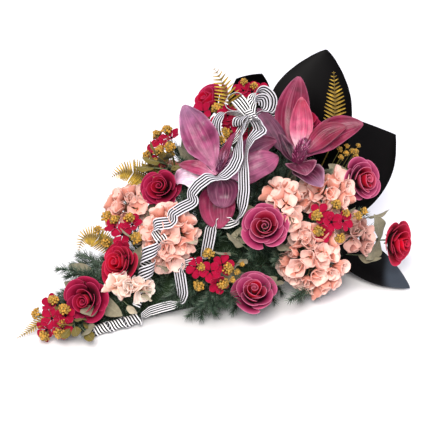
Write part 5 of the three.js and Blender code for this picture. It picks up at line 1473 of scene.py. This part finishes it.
# Leaves that start at each place of a table and rise along its azimuth. Each is tilted a little about its rib and
# stands on a stalk from further in.
def addLooseLeaves(heap, table, dye, chance):
    style = looseLeafStyle
    table = np.array(table, float)
    count = len(table)
    a, e = np.radians(table[:, 3]), np.radians(table[:, 4])
    outs = polar(np.cos(e), a - math.pi / 2, np.sin(e))
    sides = polar(1, a, 0)
    ups = np.cross(sides, outs)
    tilt = chance.normal(0, style["tilt"], (count, 1))
    sides, ups = sides * np.cos(tilt) + ups * np.sin(tilt), ups * np.cos(tilt) - sides * np.sin(tilt)
    starts = table[:, :3] * mm
    widths = chance.uniform(*style["widths"], count)
    addLeaves(heap, starts, outs, sides, ups, table[:, 5] * mm, style["lift"], widths, dye, chance)
    heap.addStalks(starts - outs * style["behind"] * mm, starts + outs * style["past"] * mm, style["stalk"] * mm,
                   paint(roseStemStyle["green"]))


# The leaves of all three tables as one piece.
def makeLooseLeaves():
    chance = np.random.default_rng(1700)
    heap = Heap()
    for dye, table in looseLeaves.items():
        addLooseLeaves(heap, table, dye, chance)
    heap.build("looseLeaves", leafCloth)


makeLooseLeaves()
print("leaves made")


# The black collar

collar = [   # route in mm, the way across, each side's width, belly and close, how far the sides cup forward, and where a painted reflection begins, a share of its length
    {"node": "sheet_up", "route": [(246, 26, 94), (278, 48, 200), (318, 76, 310), (356, 102, 388)],
     "across": (0.55, -0.83, 0), "left": (98, 0.9, 1), "right": (90, 0.95, 1), "cup": 0.16},
    {"node": "sheet_right", "route": [(286, -12, 66), (350, -26, 110), (399, -38, 164), (430, -46, 240)],
     "across": (0.68, -0.56, -0.42), "left": (106, 1.1, 0.5), "right": (45, 0.7, 0.97), "cup": 0.14},
    {"node": "sheet_low", "route": [(268, -88, 44), (290, -140, 38), (314, -200, 22), (338, -256, 6)],
     "across": (1, 0.4, 0.1), "left": (46, 0.8, 1), "right": (46, 0.8, 1), "cup": 0.12, "flap": 0.62},
    {"node": "sheet_back", "route": [(196, 78, 84), (206, 146, 200), (206, 164, 290), (200, 156, 344)],
     "across": (1, -0.25, 0.1), "left": (46, 1, 0.82), "right": (46, 1, 0.82), "cup": 0.14},
]
collarStyle = {
    "foot": 5, "thickness": 0.8, "rows": 44, "columns": 27, "buckle": 2.2, "stem": 2.2,     # mm
    "steps": 400,     # of the route, from which the rows are taken
    "rootShares": (1, 0.5, 0.25), "rootShift": (-45, 0, 30),     # where its stem ends: of its start; mm
    "black": "#050405", "flap": "#3c434c", "fade": 0.12,     # the grey-blue is a painted reflection of the sky; fade is a share of the sheet's length
}


# A sheet's half width on each side is its width times the sine of (close times pi times t to the power belly), to
# the power 0.8. Its sides cup forward by cup times the half width times s squared, and slow waves buckle it.
def makeCollarSheet(plan):
    style = collarStyle
    t = np.linspace(0, 0.997, style["rows"])
    path = curveThrough(plan["route"], style["steps"], evenSteps=True)
    place = (t * (style["steps"] - 1)).astype(int)
    path, ahead = path[place], aheadOf(path)[place]
    across = np.array(plan["across"], float)
    side = unit(across - ahead * (ahead @ across)[:, None])
    forward = np.cross(side, ahead)
    s = np.linspace(-1, 1, style["columns"])[None, :, None]
    t = t[:, None, None]

    def halfWidth(width, belly, close):
        return width * np.sin(close * math.pi * t ** belly) ** 0.8 + style["foot"] * (1 - t)

    half = np.where(s < 0, halfWidth(*plan["left"]), halfWidth(*plan["right"]))
    rise = plan["cup"] * half * s ** 2
    rise = rise + style["buckle"] * np.sin(5 * t + 2.4 * s) * s ** 2 * np.sin(math.pi * t)
    sheet = path[:, None] + side[:, None] * s * half + forward[:, None] * rise
    # Painted reflection: towards its end a sheet turns from black to a grey-blue, the sky's reflection on its sheen.
    black, flap = paint(style["black"]), paint(style["flap"])
    fold = plan.get("flap", 2)     # 2 is past the end of a sheet: one that is given no start shows no painted reflection
    tints = mix(black, flap, ease(t + 0.12 * s, fold, fold + style["fade"]))
    heap = Heap()
    heap.addSheets(sheet[None] * mm, tints[None], style["thickness"] * mm)
    start = np.array(plan["route"][0], float)
    root = start * style["rootShares"] + style["rootShift"]
    heap.addTube(straight(start, root, 6) * mm, style["stem"] * mm, 8, black)
    heap.build(pieceName("collar", plan["node"]), blackPaper, [plan["node"]])


for plan in collar:
    makeCollarSheet(plan)
print("collar made")


# The ribbon

ribbonStyle = {
    "width": 25, "thickness": 0.5, "columns": 7,     # mm
    "gathered": 0.7, "hollow": 0.06,     # shares of the width at the knot, and of the half width
    "white": "#ffffff", "back": "#dddbe2",
}
bow = {   # routes and ways across are in the bow's own frame, mm
    "at": (117, 11, 338), "azimuth": -30, "elevation": 32,
    "knot": {"wide": 20, "deep": 16, "width": 20, "lean": 20, "rows": 60},     # mm and degrees
    "pick": (0, -4, -6), "pickRadius": 1.4, "pickDye": "#3b4436",     # its top; it is a wire
    "steps": 14,     # rows of a loop for each point of its route
    "loops": [
        ([(2, 2, -4), (3, 22, -10), (6, 38, -10), (24, 48, -8), (40, 34, -10), (36, 10, -24), (8, -4, -14)],
         (0.72, 0.5, 0.5)),
        ([(-2, 2, 4), (0, 18, 10), (8, 29, 12), (24, 31, 6), (26, 14, -6), (6, -2, -6)], (0.75, 0.55, 0.4)),
        ([(-4, 2, 2), (-13, 14, 9), (-23, 27, 7), (-27, 31, -4), (-18, 18, -12), (-4, 2, -6)], (0.85, 0.5, 0.1)),
        ([(-4, 2, -5), (-8, 30, -16), (-26, 45, -18), (-45, 36, -18), (-48, 16, -16), (-4, -2, -5)], (0, 0, 1)),
        ([
            (-6, -2, -4), (-34, 4, -8), (-56, 2, -10), (-67, -14, -10), (-66, -38, -8), (-50, -58, -8),
            (-26, -40, -8), (-6, -6, -5),
        ], (0.8, 0.1, 0.6)),
        ([(-4, -2, 2), (-14, -4, 10), (-24, -12, 12), (-24, -22, 4), (-12, -14, -2), (-2, -6, -2)], (0.8, 0.1, 0.6)),
    ],
    "ends": [
        ([(6, -2, -8), (28, 0, -26), (46, 6, -32), (68, 14, -36)], (-0.3, 0.9, 0.3)),
        ([(4, -6, -8), (30, -16, -28), (52, -26, -34), (70, -36, -36)], (-0.3, 0.9, 0.3)),
        ([(4, -6, 0), (14, -20, -4), (19, -40, -6)], (0.95, 0.2, 0.2)),
    ],
}
# Each tail, in the bow's own frame too. At each fold it has a middle, mm, and its way across there: an angle in
# the plane that the bow faces, and how far that way tips to the viewer, degrees. Then it is coiled.
tails = [
    {
        "node": "ribbon_tail_short",
        "folds": [
            (-8, -9, 13, 0, 84), (-15, -25, 42, 0, 84), (-23, -50, 69, -10, 80), (-26, -70, 79, -10, 53),
            (-27, -89, 82, -20, 35), (-36, -108, 84, -50, 30), (-51, -122, 85, -72, 40),
            (-66, -128, 88, -80, 78), (-73, -125, 91, -62, 53), (-84, -126, 95, -48, 30),
            (-103, -140, 93, -45, 30), (-116, -156, 88, -45, 40), (-114, -161, 85, -5, 35),
            (-111, -171, 81, -5, 35), (-116, -175, 80, -60, 32), (-133, -183, 82, -62, 30),
            (-152, -195, 87, -55, 35), (-152, -200, 87, -5, 35), (-151, -208, 86, -10, 35),
            (-158, -212, 88, -80, 27), (-171, -213, 92, -88, 25), (-182, -215, 96, -90, 25),
            (-187, -224, 93, -98, 27), (-179, -235, 88, -115, 29), (-170, -246, 86, -140, 29),
        ],
        "coil": {"from": (-192, -258, 89), "to": (-213, -366, 65), "radius": 14, "turns": 2.8, "first": (1, 0, 0)},
    },
    {
        "node": "ribbon_tail_long",
        "folds": [
            (2, -6, 13, 0, 60), (16, -16, 21, 0, 80), (20, -33, 41, -10, 80), (13, -38, 63, -35, 29),
            (-1, -51, 68, -25, 55), (-10, -73, 72, -5, 78), (-13, -92, 76, 0, 74), (-16, -115, 79, 0, 36),
            (-15, -150, 76, 0, 33), (-18, -174, 67, 5, 37), (-22, -195, 55, 20, 74), (-30, -208, 47, 60, 53),
            (-49, -213, 37, 75, 32), (-68, -213, 37, 40, 29), (-78, -222, 40, 10, 26), (-82, -246, 41, 5, 26),
            (-87, -271, 43, 0, 30), (-92, -284, 47, 20, 60), (-101, -288, 52, 70, 40), (-118, -291, 57, 78, 30),
            (-133, -295, 61, 65, 36), (-139, -305, 60, 15, 33), (-136, -326, 52, 8, 32),
            (-133, -348, 43, 8, 36), (-137, -364, 35, 35, 55), (-150, -371, 32, 70, 42),
            (-171, -376, 30, 78, 37), (-197, -384, 30, 70, 35), (-212, -394, 31, 55, 29),
        ],
        "coil": {"from": (-222, -398, 33), "to": (-312, -422, 61), "radius": 10, "turns": 3.0, "first": (0, -1, 0)},
    },
]
tailStyle = {
    "coilSteps": 16, "step": 1.7, "window": 9,     # points for each turn of a coil; mm; points smoothed over
    "clearance": 0.8, "gather": 0.08,     # mm above the floor; the share of its length where it is gathered
    "flattest": 0.55,     # its way across is at least this share of a full one before it is stretched to that
}


# A ribbon along a path: straight across from one selvedge to the other, and a little hollow between them, by the
# hollow times the half width times s squared less a half.
def addRibbon(heap, path, across, width):
    style = ribbonStyle
    up = np.cross(across, aheadOf(path))
    s = np.linspace(-1, 1, style["columns"])[None, :, None]
    half = np.broadcast_to(np.asarray(width, float), len(path))[:, None, None] / 2
    rise = style["hollow"] * half * (s ** 2 - 0.5)
    sheet = path[:, None] + across[:, None] * s * half + up[:, None] * rise
    heap.addSheets(sheet[None] * mm, paint(style["white"]), style["thickness"] * mm, paint(style["back"]),
                   placeScale=(1, lengthOf(path) * mm))


# A tail goes straight from each fold to the next, and its way across turns evenly between them. In the coil it runs
# round an axis at a radius, and its way across is the axis. Then all is smoothed over about 12 mm.
def makeTail(tail):
    style = tailStyle
    rows = facing(bow["azimuth"], bow["elevation"])
    folds = np.array(tail["folds"], float)
    a, tip = np.radians(folds[:, 3]), np.radians(folds[:, 4])
    ways = polar(np.cos(tip), a, np.sin(tip))
    coil = tail["coil"]
    start, end = np.array(coil["from"], float), np.array(coil["to"], float)
    count = int(style["coilSteps"] * coil["turns"])
    turn = np.linspace(0, 2 * math.pi * coil["turns"], count)
    coilFrame = np.array([coil["first"], (0, 0, 1)], float)
    wound = straight(start, end, count) + coil["radius"] * around(coilFrame, turn)
    axis = unit(end - start)
    axis = axis * np.sign(axis @ ways[-1])
    points = np.vstack([folds[:, :3], wound])
    ways = np.vstack([ways, np.tile(axis, (count, 1))])
    far = distances(points)
    along = np.arange(0, far[-1], style["step"])
    window = np.hanning(style["window"])[1:-1] / np.hanning(style["window"]).sum()
    margin = len(window) // 2

    # Values at even steps along the path, and of them the weighted mean over the window round each.
    def smoothed(values):
        dense = np.stack([np.interp(along, far, column) for column in values.T], axis=-1)
        padded = np.pad(dense, ((margin, margin), (0, 0)), mode="edge")
        return np.stack([np.convolve(column, window, mode="valid") for column in padded.T], axis=-1)

    path = smoothed(points) @ rows + np.array(bow["at"], float)
    across = smoothed(ways) @ rows
    ahead = aheadOf(path)
    across = across - ahead * (ahead * across).sum(axis=1, keepdims=True)
    across = across / np.maximum(np.linalg.norm(across, axis=1, keepdims=True), style["flattest"])
    width = ribbonStyle["width"] * mix(ribbonStyle["gathered"], 1, ease(along / far[-1], 0, style["gather"]))
    lowest = path[:, 2] - np.abs(across[:, 2]) * width / 2
    path[:, 2] += np.maximum(style["clearance"] - lowest, 0)
    heap = Heap()
    addRibbon(heap, path, across, width)
    piece = heap.build(pieceName("ribbon", tail["node"]), ribbonCloth, [tail["node"]])


# The bow: loops that swell from the gathered width to the full one and back by the sine of half a turn, loose ends
# that only widen, and a knot, which is an oval ring round them.
def makeBow():
    rows = facing(bow["azimuth"], bow["elevation"])
    place = np.array(bow["at"], float)
    heap = Heap()
    for looped, ribbons in ((True, bow["loops"]), (False, bow["ends"])):
        for route, way in ribbons:
            count = bow["steps"] * len(route)
            path = curveThrough(np.array(route) @ rows + place, count, evenSteps=True)
            ahead = aheadOf(path)
            way = np.array(way) @ rows
            across = unit(way - ahead * (ahead @ way)[:, None])
            share = np.linspace(0, 1, count)
            spread = np.sin(math.pi * share) ** 0.7 if looped else share
            addRibbon(heap, path, across, ribbonStyle["width"] * mix(ribbonStyle["gathered"], 1, spread))
    knot = bow["knot"]
    turn = np.linspace(0.2, 2 * math.pi + 0.1, knot["rows"])
    ring = np.stack([knot["wide"] / 2 * np.cos(turn), 0 * turn, knot["deep"] / 2 * np.sin(turn)], axis=-1)
    leaning = turnedBy(math.radians(knot["lean"])) @ rows
    path = ring @ leaning + place
    addRibbon(heap, path, np.tile(leaning[1], (knot["rows"], 1)), knot["width"])
    piece = heap.build("ribbonBow", ribbonCloth, ["ribbon_bow"])
    pick = Heap()
    top = (np.array(bow["pick"]) @ rows + place) * mm
    addStem(pick, "ribbon_bow", top, bow["pickRadius"], paint(bow["pickDye"]), rings=8, corners=6)
    pick.build("bowPick", stemPlastic)


for tail in tails:
    makeTail(tail)
makeBow()
print("ribbon made")
